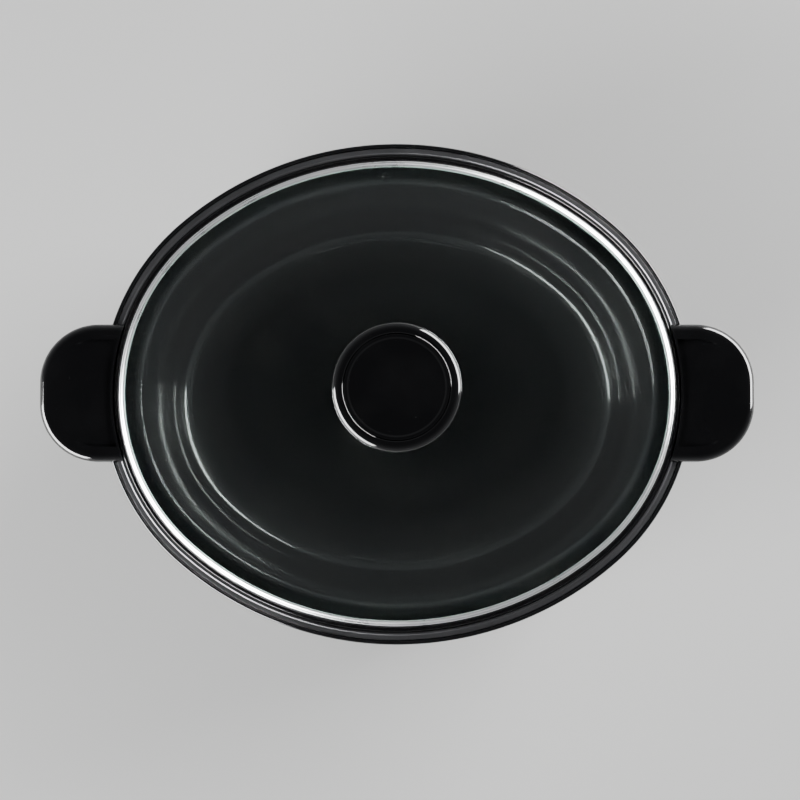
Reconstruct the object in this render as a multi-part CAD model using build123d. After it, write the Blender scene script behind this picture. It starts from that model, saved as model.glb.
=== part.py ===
from build123d import *
import os
from math import atan2, cos, degrees, radians, sin, sqrt

# An oval 3.5 litre slow cooker: heated base, lift-out stoneware crock and glass lid.
# Frame: origin on the table under the middle of the base, +X along the handles, -Y the
# control side, +Z up. All sizes are in millimetres.

# Driving dimensions
RIM_LONG = 157.0          # half length of the body's rim along X
RIM_SHORT = 133.2         # half width of the body's rim along Y
END_R = 119.0             # radius of the rim's two end arcs
RIM_Z = 156.0             # height of the rim above the table
CROCK_DEPTH = 90.0        # inside depth of the crock below its lid ledge
HANDLE_REACH = 32.5       # how far a handle stands out past the rim
HANDLE_HALF = 36.5        # half of a handle's length along the rim
KNOB_R = 33.2             # lid knob
DOME_RISE = 26.0          # how far the glass rises above the lid's edge
CONTROL_Z = 38.0          # height of the control knob's axis
DIAL_START = -67.5        # dial angle at "off", clockwise from straight up as seen from the front

# Fits
GAP = 0.3                 # between pieces that lift or turn past each other
SKIN = 0.1                # between pieces that are clamped or glued together
BORE_PLAY = 0.05          # radial, round the switch shaft

# The rim is an oval of four arcs that meet smoothly: two end arcs on the X axis, two side arcs
END_X = RIM_LONG - END_R
SIDE_Y = (END_X**2 - (RIM_SHORT - END_R) ** 2) / (2 * (RIM_SHORT - END_R))
SIDE_R = RIM_SHORT + SIDE_Y
JOIN = degrees(atan2(SIDE_Y, END_X))
ARCS = [
    ((END_X, 0), END_R, -JOIN, 2 * JOIN),
    ((0, -SIDE_Y), SIDE_R, JOIN, 180 - 2 * JOIN),
    ((-END_X, 0), END_R, 180 - JOIN, 2 * JOIN),
    ((0, SIDE_Y), SIDE_R, 180 + JOIN, 180 - 2 * JOIN),
]
CORE = 70.0               # inset inside which every oval piece is flat

# The oval's insets: how far inside the rim's outer edge each ring lies
BEAD_R = 1.1
WALL_TOP_INSET = 1.5
WALL_FOOT_INSET = 14.5
WALL_FOOT_Z = 20.0
WALL_TOP_Z = 154.9
WALL = 0.8
BEZEL_OUTER = 2.45
BEZEL_INNER = 6.6
CROCK_LIP = 7.2
LID_RIM_OUTER = 9.9
LID_RIM_INNER = 12.8
CROCK_MOUTH = 22.6
SHOULDER_Z = 150.0        # where the crock's flange rests in the liner
LINER_FLOOR_Z = 52.0
PAN_TOP_Z = 20.0
FOOT_H = 6.0
FLOOR_TOP = 8.5           # inside face of the base pan's floor

# Shared shapes
def oval(inset, z):
    """Oval face at height z, the given distance inside the rim's outer edge."""
    arcs = [CenterArc(centre, radius - inset, start, span) for centre, radius, start, span in ARCS]
    return Pos(0, 0, z) * make_face(Wire([arc.edge() for arc in arcs]))


def section(points):
    """Face in XZ from (x, z) corners, each with its rounding radius as a third number if it has one."""
    face = make_face(Plane.XZ * Polyline(*[(x, z) for x, z, *_ in points], close=True))
    for x, z, *radius in points:
        if radius:
            corner = face.vertices().sort_by_distance((x, 0, z))[0]
            face = fillet(corner, radius[0])
    return face


def oval_turned(face):
    """Solid with one section all round the oval; the section's x is minus its inset."""
    sectors = []
    for centre, radius, start, span in ARCS:
        placed = Rot(0, 0, start) * Pos(radius, 0, 0) * face
        sectors.append(Pos(*centre) * revolve(placed, Axis.Z, span))
    return sectors[0] + sectors[1] + sectors[2] + sectors[3]


def oval_band(*points):
    """Ring round the oval with a section given as (inset, z[, rounding]) corners."""
    return oval_turned(section([(-inset, *rest) for inset, *rest in points]))


def oval_body(*points):
    """Solid oval whose side runs through (inset, z[, rounding]) points from its foot to its top."""
    low, high = points[0][1], points[-1][1]
    side = oval_band((CORE, low), *points, (CORE, high))
    return side + extrude(oval(CORE, low), high - low)


def oval_ring(outer, inner, low, high):
    """Upright ring between two insets and two heights."""
    return extrude(oval(outer, low) - oval(inner, low), high - low)


def on_oval(inset, direction):
    """Point of the oval at that inset, where its outward direction is that many degrees from +X."""
    for (x, y), radius, start, span in ARCS:
        if (direction - start) % 360 <= span:
            angle = radians(direction)
            return x + (radius - inset) * cos(angle), y + (radius - inset) * sin(angle)


def end_x(inset, y):
    """X of the right end arc at that inset and y."""
    return END_X + sqrt((END_R - inset) ** 2 - y**2)


def side_y(inset, x):
    """Y of the back side arc at that inset and x."""
    return sqrt((SIDE_R - inset) ** 2 - x**2) - SIDE_Y


def rod(radius, start, end):
    """Round bar between two points."""
    axis = Vector(*end) - Vector(*start)
    plane = Plane(origin=start, z_dir=axis)
    return extrude(plane * Circle(radius), axis.length)


def block(low, high):
    """Box between two corners."""
    size = [h - l for l, h in zip(low, high)]
    centre = [(h + l) / 2 for l, h in zip(low, high)]
    return Pos(*centre) * Box(*size)


def turned(points):
    """Solid of revolution about Z from an outline of (radius, z[, rounding])."""
    return revolve(section(points), Axis.Z)


def top_edges(shape):
    return shape.edges().group_by(Axis.Z)[-1]


def wall_inset(z):
    """Inset of the housing's outer wall at a height."""
    share = (WALL_TOP_Z - z) / (WALL_TOP_Z - WALL_FOOT_Z)
    return WALL_TOP_INSET + share * (WALL_FOOT_INSET - WALL_TOP_INSET)


def housing_core(grow, low, high):
    """Everything inside the housing's outer wall, grown by a distance."""
    return oval_body((wall_inset(low) - grow, low), (wall_inset(high) - grow, high))


def save(name, shape):
    """Writes one node, with a group of separate solids kept apart."""
    solids = shape.solids()
    kept = solids[0] if len(solids) == 1 else Compound(children=list(solids))
    export_step(kept, f"parts/{name}.step")


# Screws
def pan_screw(head_r, head_h, shank_r, length):
    """Cross-head screw, its head's seat at the origin and its shank along -Z."""
    head = Pos(0, 0, head_h / 2) * Cylinder(head_r, head_h)
    head = fillet(top_edges(head), head_h * 0.45)
    shank = Pos(0, 0, -length / 2) * Cylinder(shank_r, length)
    cross = Box(head_r, head_r * 0.24, head_h) + Box(head_r * 0.24, head_r, head_h)
    return head + shank - Pos(0, 0, head_h) * cross


# Crock
CROCK_WALL = 5.7
CROCK_FLOOR = 8.0
CROCK_DRAFT = 9.0         # how much the inside closes in from mouth to floor
CROCK_LEDGE_Z = RIM_Z
CROCK_LIP_Z = RIM_Z + 2.2
CROCK_FLOOR_Z = CROCK_LEDGE_Z - CROCK_DEPTH
CROCK_FOOT_Z = CROCK_FLOOR_Z - CROCK_FLOOR
LIP_INNER = LID_RIM_OUTER - 0.55


def crock():
    """Glazed stoneware pot with a flange that hangs in the base and a ledge for the lid."""
    wall_top = CROCK_MOUTH - CROCK_WALL
    flange_z = SHOULDER_Z + GAP
    outside = oval_body(
        (wall_top + CROCK_DRAFT, CROCK_FOOT_Z, 16), (wall_top, flange_z), (CROCK_LIP, flange_z, 1.2),
        (CROCK_LIP, CROCK_LIP_Z, 0.95), (LIP_INNER, CROCK_LIP_Z, 0.95), (LIP_INNER, CROCK_LEDGE_Z),
    )
    outside += extrude(oval(LIP_INNER, flange_z), CROCK_LEDGE_Z - flange_z)
    inside = oval_body((CROCK_MOUTH + CROCK_DRAFT, CROCK_FLOOR_Z, 18), (CROCK_MOUTH, CROCK_LEDGE_Z))
    mouth = oval_body((CROCK_MOUTH + 1, CROCK_LEDGE_Z - 2), (CROCK_MOUTH - 1.6, CROCK_LEDGE_Z))
    foot = oval_ring(CROCK_MOUTH + 24, CROCK_MOUTH + 30, CROCK_FOOT_Z - 1.8, CROCK_FOOT_Z)
    return outside - inside - mouth + foot


# Lid
LID_Z = CROCK_LEDGE_Z + GAP
LID_RIM_H = 5.0
GLASS_T = 3.6
GLASS_EDGE_Z = LID_Z + (LID_RIM_H - GLASS_T) / 2
GLASS_EDGE = LID_RIM_OUTER + 0.8
GLASS_CROWN = 110.0       # inset of the dome's flat middle, where the knob sits
SCREW_HOLE_R = 3.2
GLASS_UNDER_Z = GLASS_EDGE_Z + DOME_RISE
GLASS_TOP_Z = GLASS_UNDER_Z + GLASS_T
VENT_R = 1.4
VENT_X, VENT_Y = -6.0, RIM_SHORT - 17.6


def dome_section():
    """Section of the glass from its flat edge up to its crown, one thickness all along."""
    under = FilletPolyline(
        (-GLASS_EDGE, 0), (-19.5, 0), (-58, 0.654 * DOME_RISE), (-96, DOME_RISE),
        (-GLASS_CROWN - 1, DOME_RISE), radius=[10, 150, 110],
    )
    strip = make_face(offset(under, GLASS_T, side=Side.RIGHT))
    return Pos(0, 0, GLASS_EDGE_Z) * Rot(90, 0, 0) * strip


def lid_glass():
    """Tempered glass dome with a screw hole and a small steam vent by its back edge."""
    crown = extrude(oval(GLASS_CROWN, GLASS_UNDER_Z), GLASS_T)
    glass = oval_turned(dome_section()) + crown
    glass -= rod(SCREW_HOLE_R, (0, 0, GLASS_UNDER_Z - 2), (0, 0, GLASS_TOP_Z + 2))
    return glass - rod(VENT_R, (VENT_X, VENT_Y, LID_Z), (VENT_X, VENT_Y, LID_Z + 20))


def lid_rim():
    """Polished steel channel rolled round the glass edge."""
    low, high = LID_Z, LID_Z + LID_RIM_H
    slot_low, slot_high = GLASS_EDGE_Z - SKIN, GLASS_EDGE_Z + GLASS_T + SKIN
    web = GLASS_EDGE - SKIN
    return oval_band(
        (LID_RIM_INNER, low), (LID_RIM_OUTER, low, 0.6), (LID_RIM_OUTER, high, 0.9), (LID_RIM_INNER, high),
        (LID_RIM_INNER, slot_high), (web, slot_high), (web, slot_low), (LID_RIM_INNER, slot_low),
    )


GASKET_T = 1.4
GASKET_R = 15.5
KNOB_FOOT_Z = GLASS_TOP_Z + GASKET_T
KNOB_H = 31.0
KNOB_TOP_Z = KNOB_FOOT_Z + KNOB_H
CAP_R = 27.0
INSERT_R = 4.5
LID_SCREW_R = 2.5


def lid_gasket():
    """Silicone washer between the knob and the glass."""
    z = GLASS_TOP_Z
    washer = rod(GASKET_R, (0, 0, z), (0, 0, KNOB_FOOT_Z))
    return washer - rod(LID_SCREW_R, (0, 0, z - 1), (0, 0, KNOB_FOOT_Z + 1))


def lid_knob():
    """Round black grip: a waisted stem under a wide rounded disc with a recess for its cap."""
    z, top = KNOB_FOOT_Z, KNOB_TOP_Z
    outline = [
        (0, z), (16, z), (15.2, z + 3), (14.2, z + 8), (15.2, z + 12.5), (19, z + 16),
        (KNOB_R - 3, z + 18.2), (KNOB_R, z + 21), (KNOB_R, top - 5.2), (KNOB_R - 1.5, top - 1.6),
        (KNOB_R - 5.2, top), (CAP_R + SKIN, top), (CAP_R + SKIN, top - 2.2), (0, top - 2.2),
    ]
    knob = turned(outline)
    pocket = rod(INSERT_R, (0, 0, z - 1), (0, 0, z + 16))
    return knob - pocket


def lid_knob_cap():
    """Disc set into the top of the knob."""
    low, high = KNOB_TOP_Z - 2.2, KNOB_TOP_Z - 0.5
    return turned([(0, low), (CAP_R, low), (CAP_R, high - 0.5), (CAP_R - 0.5, high), (0, high)])


def knob_insert():
    """Brass threaded insert moulded into the knob."""
    low, high = KNOB_FOOT_Z, KNOB_FOOT_Z + 15
    return rod(INSERT_R, (0, 0, low), (0, 0, high)) - rod(LID_SCREW_R, (0, 0, low - 1), (0, 0, high - 3))


def lid_washer():
    """Steel cup washer under the glass."""
    z = GLASS_UNDER_Z
    cup = turned([(0, z), (12, z), (12, z - 0.8), (9, z - 2.2), (0, z - 2.2)])
    return cup - rod(LID_SCREW_R + 0.1, (0, 0, z - 4), (0, 0, z + 1))


def lid_screw():
    """Screw that clamps the knob through the glass from below."""
    seat = GLASS_UNDER_Z - 2.2
    length = KNOB_FOOT_Z + 11.5 - seat
    screw = pan_screw(5.2, 3.0, LID_SCREW_R - BORE_PLAY, length)
    return Pos(0, 0, seat) * Rot(180, 0, 0) * screw


# Base: liner, rim and housing
LINER_T = 1.0
LINER_TOP_INSET = 15.0
LINER_FOOT_INSET = 23.0
LINER_UPSTAND = 5.4


def liner_inset(z):
    """Inset of the liner's outer wall at a height."""
    share = (SHOULDER_Z - z) / (SHOULDER_Z - LINER_FLOOR_Z)
    return LINER_TOP_INSET - LINER_T + share * (LINER_FOOT_INSET - LINER_TOP_INSET)


def liner():
    """Enamelled steel well that the crock hangs in."""
    low, top = LINER_FLOOR_Z - LINER_T, RIM_Z - 2.0
    foot, mouth, edge = LINER_FOOT_INSET, LINER_TOP_INSET, LINER_UPSTAND
    shell = oval_body(
        (foot - LINER_T, low, 9), (mouth - LINER_T, SHOULDER_Z - LINER_T),
        (edge - LINER_T, SHOULDER_Z - LINER_T),
        (edge - LINER_T, top), (edge, top), (edge, SHOULDER_Z),
    )
    well = oval_body((foot, LINER_FLOOR_Z, 8), (mouth, SHOULDER_Z))
    return shell - well + rod(7, (0, 0, low - 1.5), (0, 0, low))


def rim_bezel():
    """Gloss black ring that covers the liner's edge between the crock and the housing."""
    under, skirt = RIM_Z - 1.5, LINER_UPSTAND + SKIN
    return oval_band(
        (skirt, SHOULDER_Z + SKIN), (skirt, under), (BEZEL_OUTER, under), (BEZEL_OUTER, RIM_Z, 0.6),
        (BEZEL_INNER, RIM_Z, 0.6), (BEZEL_INNER, SHOULDER_Z + SKIN),
    )


HANDLE_SCREW_Z = 145.5
HANDLE_SCREW_Y = 24.0


def control_holes():
    """Holes through the housing's front for the switch shaft and the lamp."""
    shaft = rod(8.5, (0, -90, CONTROL_Z), (0, -140, CONTROL_Z))
    lamp = rod(4.0, (LAMP_X, -90, CONTROL_Z), (LAMP_X, -140, CONTROL_Z))
    screws = [
        rod(1.9, (x, -90, CONTROL_Z), (x, -140, CONTROL_Z)) for x in FASCIA_SCREW_X
    ]
    return shaft + lamp + screws


def housing():
    """Painted steel outer shell with a rolled top bead and an inward foot flange."""
    wall = section([
        (-WALL_FOOT_INSET - 11.5, WALL_FOOT_Z), (-WALL_FOOT_INSET, WALL_FOOT_Z, 2.5),
        (-WALL_TOP_INSET, WALL_TOP_Z), (-WALL_TOP_INSET - WALL, WALL_TOP_Z),
        (-WALL_FOOT_INSET - WALL, WALL_FOOT_Z + WALL, 1.7), (-WALL_FOOT_INSET - 11.5, WALL_FOOT_Z + WALL),
    ])
    bead = Plane.XZ * Pos(-BEAD_R, WALL_TOP_Z) * Circle(BEAD_R)
    shell = oval_turned(wall) + oval_turned(bead)
    shell -= control_holes()
    shell -= rod(GLAND_NECK_R + SKIN, (GLAND_X, 100, GLAND_Z), (GLAND_X, 140, GLAND_Z))
    for side in (-1, 1):
        for y in (-HANDLE_SCREW_Y, HANDLE_SCREW_Y):
            shell -= rod(2.1, (side * 130, y, HANDLE_SCREW_Z), (side * 165, y, HANDLE_SCREW_Z))
    for x, y in PAN_SCREWS:
        shell -= rod(1.9, (x, y, WALL_FOOT_Z - 1), (x, y, WALL_FOOT_Z + 3))
    return shell


def housing_halves():
    """The outer shell as its front and back pressings, which meet edge to edge behind the handles."""
    shell = housing()
    room = Box(2 * RIM_LONG + 20, 2 * RIM_SHORT, 4 * RIM_Z)
    return shell & Pos(0, -RIM_SHORT) * room, shell & Pos(0, RIM_SHORT) * room


HANDLE_TOP_Z = RIM_Z + 3.0
HANDLE_FOOT_Z = RIM_Z - 15.0
HANDLE_SKIN = 4.0
HANDLE_CORNER = 31.0
DISH_HALF = 28.3
DISH_DEPTH = 2.0


def ear(shrink, low, high):
    """D-shaped prism of the right handle's outline, drawn in by a distance."""
    half, root, tip = HANDLE_HALF - shrink, RIM_LONG - 14, RIM_LONG + HANDLE_REACH - shrink
    outline = Pos((root + tip) / 2, 0) * Rectangle(tip - root, 2 * half)
    outline = fillet(outline.vertices().group_by(Axis.X)[-1], HANDLE_CORNER - shrink)
    return extrude(Pos(0, 0, low) * outline, high - low)


def thumb_dish():
    """Shallow recess in the handle's top, deepest at the rim and running out towards the tip."""
    start, end = RIM_LONG - 5, RIM_LONG + 17
    wedge = section([
        (start - 12, HANDLE_TOP_Z - DISH_DEPTH), (start, HANDLE_TOP_Z - DISH_DEPTH), (end, HANDLE_TOP_Z),
        (end, HANDLE_TOP_Z + 2), (start - 12, HANDLE_TOP_Z + 2),
    ])
    recess = extrude(wedge, DISH_HALF, both=True)
    return recess - extrude(oval(BEZEL_INNER - 1.6, RIM_Z), 10)


def right_handle():
    """Moulded ear that hooks over the rim, hollow underneath for the fingers."""
    solid = ear(0, HANDLE_FOOT_Z, HANDLE_TOP_Z)
    solid = fillet(top_edges(solid).filter_by_position(Axis.X, RIM_LONG - 12, 300), 4.0)
    bead_room = extrude(oval(-0.25, RIM_Z - 2.6), 2.85)
    body_room = housing_core(0.25, HANDLE_FOOT_Z - 5, RIM_Z - 2.5)
    mouth_room = extrude(oval(BEZEL_INNER - 0.2, RIM_Z - 1), 10)
    pocket = ear(HANDLE_SKIN, HANDLE_FOOT_Z - 1, HANDLE_TOP_Z - 4.6)
    pocket -= housing_core(4.0, HANDLE_FOOT_Z - 5, RIM_Z)
    handle = solid - bead_room - body_room - mouth_room - pocket - thumb_dish()
    for y in (-HANDLE_SCREW_Y, HANDLE_SCREW_Y):
        boss = rod(4.2, (145, y, HANDLE_SCREW_Z), (170, y, HANDLE_SCREW_Z)) - body_room - bead_room
        pilot = rod(1.7, (140, y, HANDLE_SCREW_Z), (167, y, HANDLE_SCREW_Z))
        handle = handle + boss - pilot
    return handle


def handle_screws(side):
    """Two screws from inside the housing into a handle's bosses."""
    head_r = 3.4
    inset = wall_inset(HANDLE_SCREW_Z - head_r) + WALL
    seat_x = end_x(inset, HANDLE_SCREW_Y + head_r) - SKIN
    screw = Rot(0, -90 * side, 0) * pan_screw(head_r, 2.2, 1.6, 15)
    pair = [Pos(side * seat_x, y, HANDLE_SCREW_Z) * screw for y in (-HANDLE_SCREW_Y, HANDLE_SCREW_Y)]
    return Compound(children=pair)


# Base: pan and feet
PAN_INSET = 13.9
PAN_WALL = 2.4
PAN_SCREWS = [on_oval(20.5, angle) for angle in (40, 140, 220, 320)]
FEET = {"front_left": (-94, -50), "front_right": (94, -50), "back_left": (-94, 50), "back_right": (94, 50)}
FOOT_R = 10.0
STEM_R = 3.2
STUD_R = 2.5
STUD_WELL_Z = 13.0


def vent_slots():
    """Two rows of cooling slots through the pan's floor."""
    slot = extrude(SlotOverall(34, 3.2), 6)
    rows = [Pos(side * 48, 8.0 * n, FOOT_H - 1) * slot for side in (-1, 1) for n in range(-2, 3)]
    return Compound(children=rows)


def base_pan():
    """Plastic underside with screw bosses, feet sockets, cooling slots and a central nut well."""
    shoulder = PAN_INSET + 1.6
    outside = oval_body((22.0, FOOT_H), (shoulder, FOOT_H + 6, 3), (PAN_INSET, PAN_TOP_Z - SKIN))
    inside = oval_body(
        (24.5, FLOOR_TOP), (shoulder + PAN_WALL, FOOT_H + 6.5), (PAN_INSET + PAN_WALL, PAN_TOP_Z + 1)
    )
    pan = outside - inside
    for x, y in PAN_SCREWS:
        pan += rod(6, (x, y, FLOOR_TOP - 1), (x, y, PAN_TOP_Z - SKIN))
    pan += rod(12, (0, 0, FLOOR_TOP - 1), (0, 0, STUD_WELL_Z + 2.5))
    pan = pan & outside
    for x, y in PAN_SCREWS:
        pan -= rod(2.1, (x, y, 0), (x, y, PAN_TOP_Z + 1))
        pan -= rod(4.1, (x, y, 0), (x, y, FOOT_H + 6))
    for x, y in FEET.values():
        pan -= rod(STEM_R, (x, y, 0), (x, y, FLOOR_TOP + 1))
    pan -= rod(9, (0, 0, 0), (0, 0, STUD_WELL_Z))
    pan -= rod(STUD_R + 0.3, (0, 0, 0), (0, 0, 30))
    return pan - vent_slots()


def pan_screws():
    """Screws up through the pan's bosses into the housing's foot flange."""
    screw = pan_screw(3.8, 2.4, 1.8, 12.6)
    seats = [Pos(x, y, FOOT_H + 6) * Rot(180, 0, 0) * screw for x, y in PAN_SCREWS]
    return Compound(children=seats)


def foot(x, y):
    """Rubber foot with a stem pushed through the pan's floor."""
    pad = turned([
        (0, 0.9), (FOOT_R - 4, 0.9), (FOOT_R - 3.4, 0), (FOOT_R - 0.8, 0), (FOOT_R, 0.8),
        (FOOT_R - 1.2, FOOT_H), (0, FOOT_H),
    ])
    stem = rod(STEM_R - BORE_PLAY, (0, 0, FOOT_H - 1), (0, 0, FLOOR_TOP))
    tip = FLOOR_TOP + 2.6
    barb = turned([(0, FLOOR_TOP), (STEM_R + 0.7, FLOOR_TOP), (STEM_R - 0.8, tip), (0, tip)])
    return Pos(x, y, 0) * (pad + stem + barb)


STUD_LOW_Z = 7.5


def centre_stud():
    """Threaded stud from the liner's floor down through the pan."""
    return rod(STUD_R, (0, 0, STUD_LOW_Z), (0, 0, LINER_FLOOR_Z - LINER_T - 1.5))


def nut(radius, bore, thickness):
    """Hexagon nut standing on its face at the origin."""
    return extrude(RegularPolygon(radius, 6) - Circle(bore), thickness)


def stud_nut():
    """Nut and washer that hold the pan to the stud."""
    washer = rod(7.5, (0, 0, STUD_WELL_Z - 1), (0, 0, STUD_WELL_Z)) - rod(STUD_R, (0, 0, 0), (0, 0, 20))
    return Compound(children=[washer.solid(), (Pos(0, 0, STUD_WELL_Z - 5) * nut(4.6, STUD_R, 4)).solid()])


# Base: controls
LAMP_X = 31.0
FASCIA_SCREW_X = (-40.0, 40.0)
FASCIA_FRONT = -123.4
FASCIA_W, FASCIA_H = 98.0, 36.0
FASCIA_T = 2.6


def fascia_prism(shrink, front):
    """Rounded control panel outline run back from a front plane."""
    outline = RectangleRounded(FASCIA_W - 2 * shrink, FASCIA_H - 2 * shrink, 15 - shrink)
    plane = Plane(origin=(0, front, CONTROL_Z + 1.5), x_dir=(1, 0, 0), z_dir=(0, 1, 0))
    return extrude(plane * outline, 30)


def control_fascia():
    """Gloss panel that stands on the housing's front, hollow behind."""
    body = fascia_prism(0, FASCIA_FRONT)
    body = fillet(body.edges().group_by(Axis.Y)[0], 2.2)
    hollow = fascia_prism(FASCIA_T, FASCIA_FRONT + FASCIA_T)
    room = housing_core(0.12, WALL_FOOT_Z + 0.2, 80)
    bosses = [
        rod(4, (x, FASCIA_FRONT + 1.5, CONTROL_Z), (x, -100, CONTROL_Z)) for x in FASCIA_SCREW_X
    ]
    panel = body - hollow
    for boss in bosses:
        panel += boss
    panel -= room
    panel -= rod(4.2, (0, -130, CONTROL_Z), (0, -110, CONTROL_Z))
    panel -= rod(3.3, (LAMP_X, -130, CONTROL_Z), (LAMP_X, -110, CONTROL_Z))
    for x in FASCIA_SCREW_X:
        panel -= rod(1.5, (x, FASCIA_FRONT + 3, CONTROL_Z), (x, -100, CONTROL_Z))
    return panel


def fascia_screws():
    """Two screws from inside the housing into the panel's bosses."""
    head_r = 3.2
    inset = wall_inset(CONTROL_Z - head_r) + WALL
    screw = Rot(-90, 0, 0) * pan_screw(head_r, 2.0, 1.4, 6.5)
    pair = []
    for x in FASCIA_SCREW_X:
        seat_y = SKIN - side_y(inset, abs(x) + head_r)
        pair.append(Pos(x, seat_y, CONTROL_Z) * screw)
    return Compound(children=pair)


KNOB_BACK = FASCIA_FRONT - 0.6
KNOB_FRONT = -132.9
SOCKET_DEPTH = 6.5
DIAL_R = 15.0
SHAFT_R = 3.0


def dial_piece(points):
    """Solid turned about the control axis from an outline of (radius, distance in front of the panel)."""
    solid = turned(points)
    return Pos(0, KNOB_BACK, CONTROL_Z) * Rot(90, 0, 0) * solid


def control_knob():
    """Round knob with a finger bar across its face."""
    depth = KNOB_BACK - KNOB_FRONT
    skirt = dial_piece([(0, 0), (DIAL_R, 0), (DIAL_R, 2.2), (DIAL_R - 1.2, 3.4), (0, 3.4)])
    grip_half = 4.2
    grip = Pos(0, KNOB_BACK - depth / 2, CONTROL_Z) * Box(2 * grip_half, depth, 2 * DIAL_R)
    inside = dial_piece([(0, 0), (DIAL_R - 1.8, 0), (DIAL_R - 3.2, depth), (0, depth)])
    grip = grip & inside
    grip = fillet(grip.edges().group_by(Axis.Y)[0], 1.2)
    socket = rod(SHAFT_R, (0, KNOB_BACK + 1, CONTROL_Z), (0, KNOB_BACK - SOCKET_DEPTH, CONTROL_Z))
    knob = skirt + grip - socket
    return Pos(0, 0, CONTROL_Z) * Rot(0, DIAL_START, 0) * Pos(0, 0, -CONTROL_Z) * (knob - pointer_room())


def pointer_room():
    """Slot in the finger bar that the pointer fills."""
    return block((-0.7, KNOB_FRONT - 1, CONTROL_Z + 3.0), (0.7, KNOB_FRONT + 0.7, CONTROL_Z + 9.8))


def knob_pointer():
    """White line let into the finger bar."""
    line = block((-0.7, KNOB_FRONT, CONTROL_Z + 3.0), (0.7, KNOB_FRONT + 0.7, CONTROL_Z + 9.8))
    return Pos(0, 0, CONTROL_Z) * Rot(0, DIAL_START, 0) * Pos(0, 0, -CONTROL_Z) * line


def knob_ring():
    """Chromed trim ring round the knob's skirt."""
    return dial_piece([
        (DIAL_R + SKIN, 0), (DIAL_R + 1.5, 0), (DIAL_R + 1.5, 1.6), (DIAL_R + 0.9, 2.4), (DIAL_R + SKIN, 2.4),
    ])


SWITCH_FRONT = -113.0
SWITCH_DEEP = 20.0


def switch_shaft():
    """Steel shaft from the switch to the knob."""
    tip = KNOB_BACK - SOCKET_DEPTH + SKIN
    return rod(SHAFT_R - BORE_PLAY, (0, SWITCH_FRONT + 10, CONTROL_Z), (0, tip, CONTROL_Z))


def rotary_switch():
    """Four-position switch body with its threaded bush and rear tabs."""
    low, high = (-13, SWITCH_FRONT, CONTROL_Z - 11), (13, SWITCH_FRONT + SWITCH_DEEP, CONTROL_Z + 11)
    body = fillet(block(low, high).edges().filter_by(Axis.Y), 1.5)
    bush = rod(4.8, (0, SWITCH_FRONT, CONTROL_Z), (0, SWITCH_FRONT - 6, CONTROL_Z))
    rear = SWITCH_FRONT + SWITCH_DEEP
    switch = body + bush
    for x in SWITCH_TABS:
        switch += block((x - 2.4, rear - 0.5, CONTROL_Z - 4.5), (x + 2.4, rear + 6, CONTROL_Z - 3.7))
    bore = rod(SHAFT_R, (0, SWITCH_FRONT - 8, CONTROL_Z), (0, SWITCH_FRONT + 10.2, CONTROL_Z))
    return switch - bore


SWITCH_TABS = (-8.0, 0.0, 8.0)


def switch_bracket():
    """Folded steel saddle, welded inside the housing's front, that carries the switch."""
    plate = block((-21, SWITCH_FRONT - 1.2, CONTROL_Z - 12), (21, SWITCH_FRONT, CONTROL_Z + 12))
    plate -= rod(4.9, (0, SWITCH_FRONT - 5, CONTROL_Z), (0, SWITCH_FRONT + 5, CONTROL_Z))
    for x in (-20.4, 20.4):
        plate += block((x - 0.6, -125, CONTROL_Z - 8), (x + 0.6, SWITCH_FRONT, CONTROL_Z + 8))
    return plate & housing_core(-WALL - SKIN, WALL_FOOT_Z + 4, 80)


def switch_nut():
    """Nut on the switch's bush."""
    ring = nut(7.4, 4.85, 2.4)
    return Pos(0, SWITCH_FRONT - 1.2, CONTROL_Z) * Rot(90, 0, 0) * ring


def lamp_lens():
    """Ribbed amber lens of the power light."""
    lens = dial_piece([(0, -8), (3.1, -8), (3.1, 0.8), (2.6, 1.6), (0, 2.0)])
    return Pos(LAMP_X, 0, 0) * lens


def lamp_body():
    """Neon lamp holder behind the lens."""
    return rod(3.0, (LAMP_X, KNOB_BACK + 8.1, CONTROL_Z), (LAMP_X, KNOB_BACK + 26, CONTROL_Z))


# Base: heating
BAND_LOW, BAND_HIGH, BAND_T = 62.0, 102.0, 2.6
SHIELD_GAP = 2.4


def wall_band(offset, thickness, low, high):
    """Band that follows the liner's outer wall at a distance."""
    outer = oval_body(*[(liner_inset(z) - offset - thickness, z) for z in (low, high)])
    inner = oval_body(*[(liner_inset(z) - offset, z) for z in (low, high)])
    return outer - inner


def back_notch(half, low, high):
    """Space at the back where a band's ends meet."""
    return block((-half, 60, low), (half, 140, high))


def heater_band():
    """Wound heating element in a mica sleeve, wrapped round the liner, with three terminal tabs."""
    band = wall_band(0.2, BAND_T, BAND_LOW, BAND_HIGH) - back_notch(7, BAND_LOW - 1, BAND_HIGH + 1)
    tab = block((-2.4, -0.4, BAND_LOW - 7), (2.4, 0.4, BAND_LOW + 4))
    for direction, (x, y) in zip(TAB_DIRECTIONS, HEATER_TABS):
        band += Pos(x, y) * Rot(0, 0, direction - 90) * tab
    return band


TAB_DIRECTIONS = (62, 70, 78)
HEATER_TABS = [on_oval(liner_inset(BAND_LOW) - 1.6, direction) for direction in TAB_DIRECTIONS]


def band_clamp():
    """Bolt and lugs that pull the heater band's ends together."""
    y, bolt_y = side_y(liner_inset(82), 0) + 1.5, side_y(liner_inset(82), 0) + 5.9
    lugs = [block((x - 0.8, y, 72), (x + 0.8, y + 6.6, 92)) for x in (-6.0, 6.0)]
    bolt = rod(1.6, (-9, bolt_y, 82), (9, bolt_y, 82)) + rod(2.4, (-9, bolt_y, 82), (-6.8, bolt_y, 82))
    return lugs[0] + lugs[1] + bolt


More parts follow.
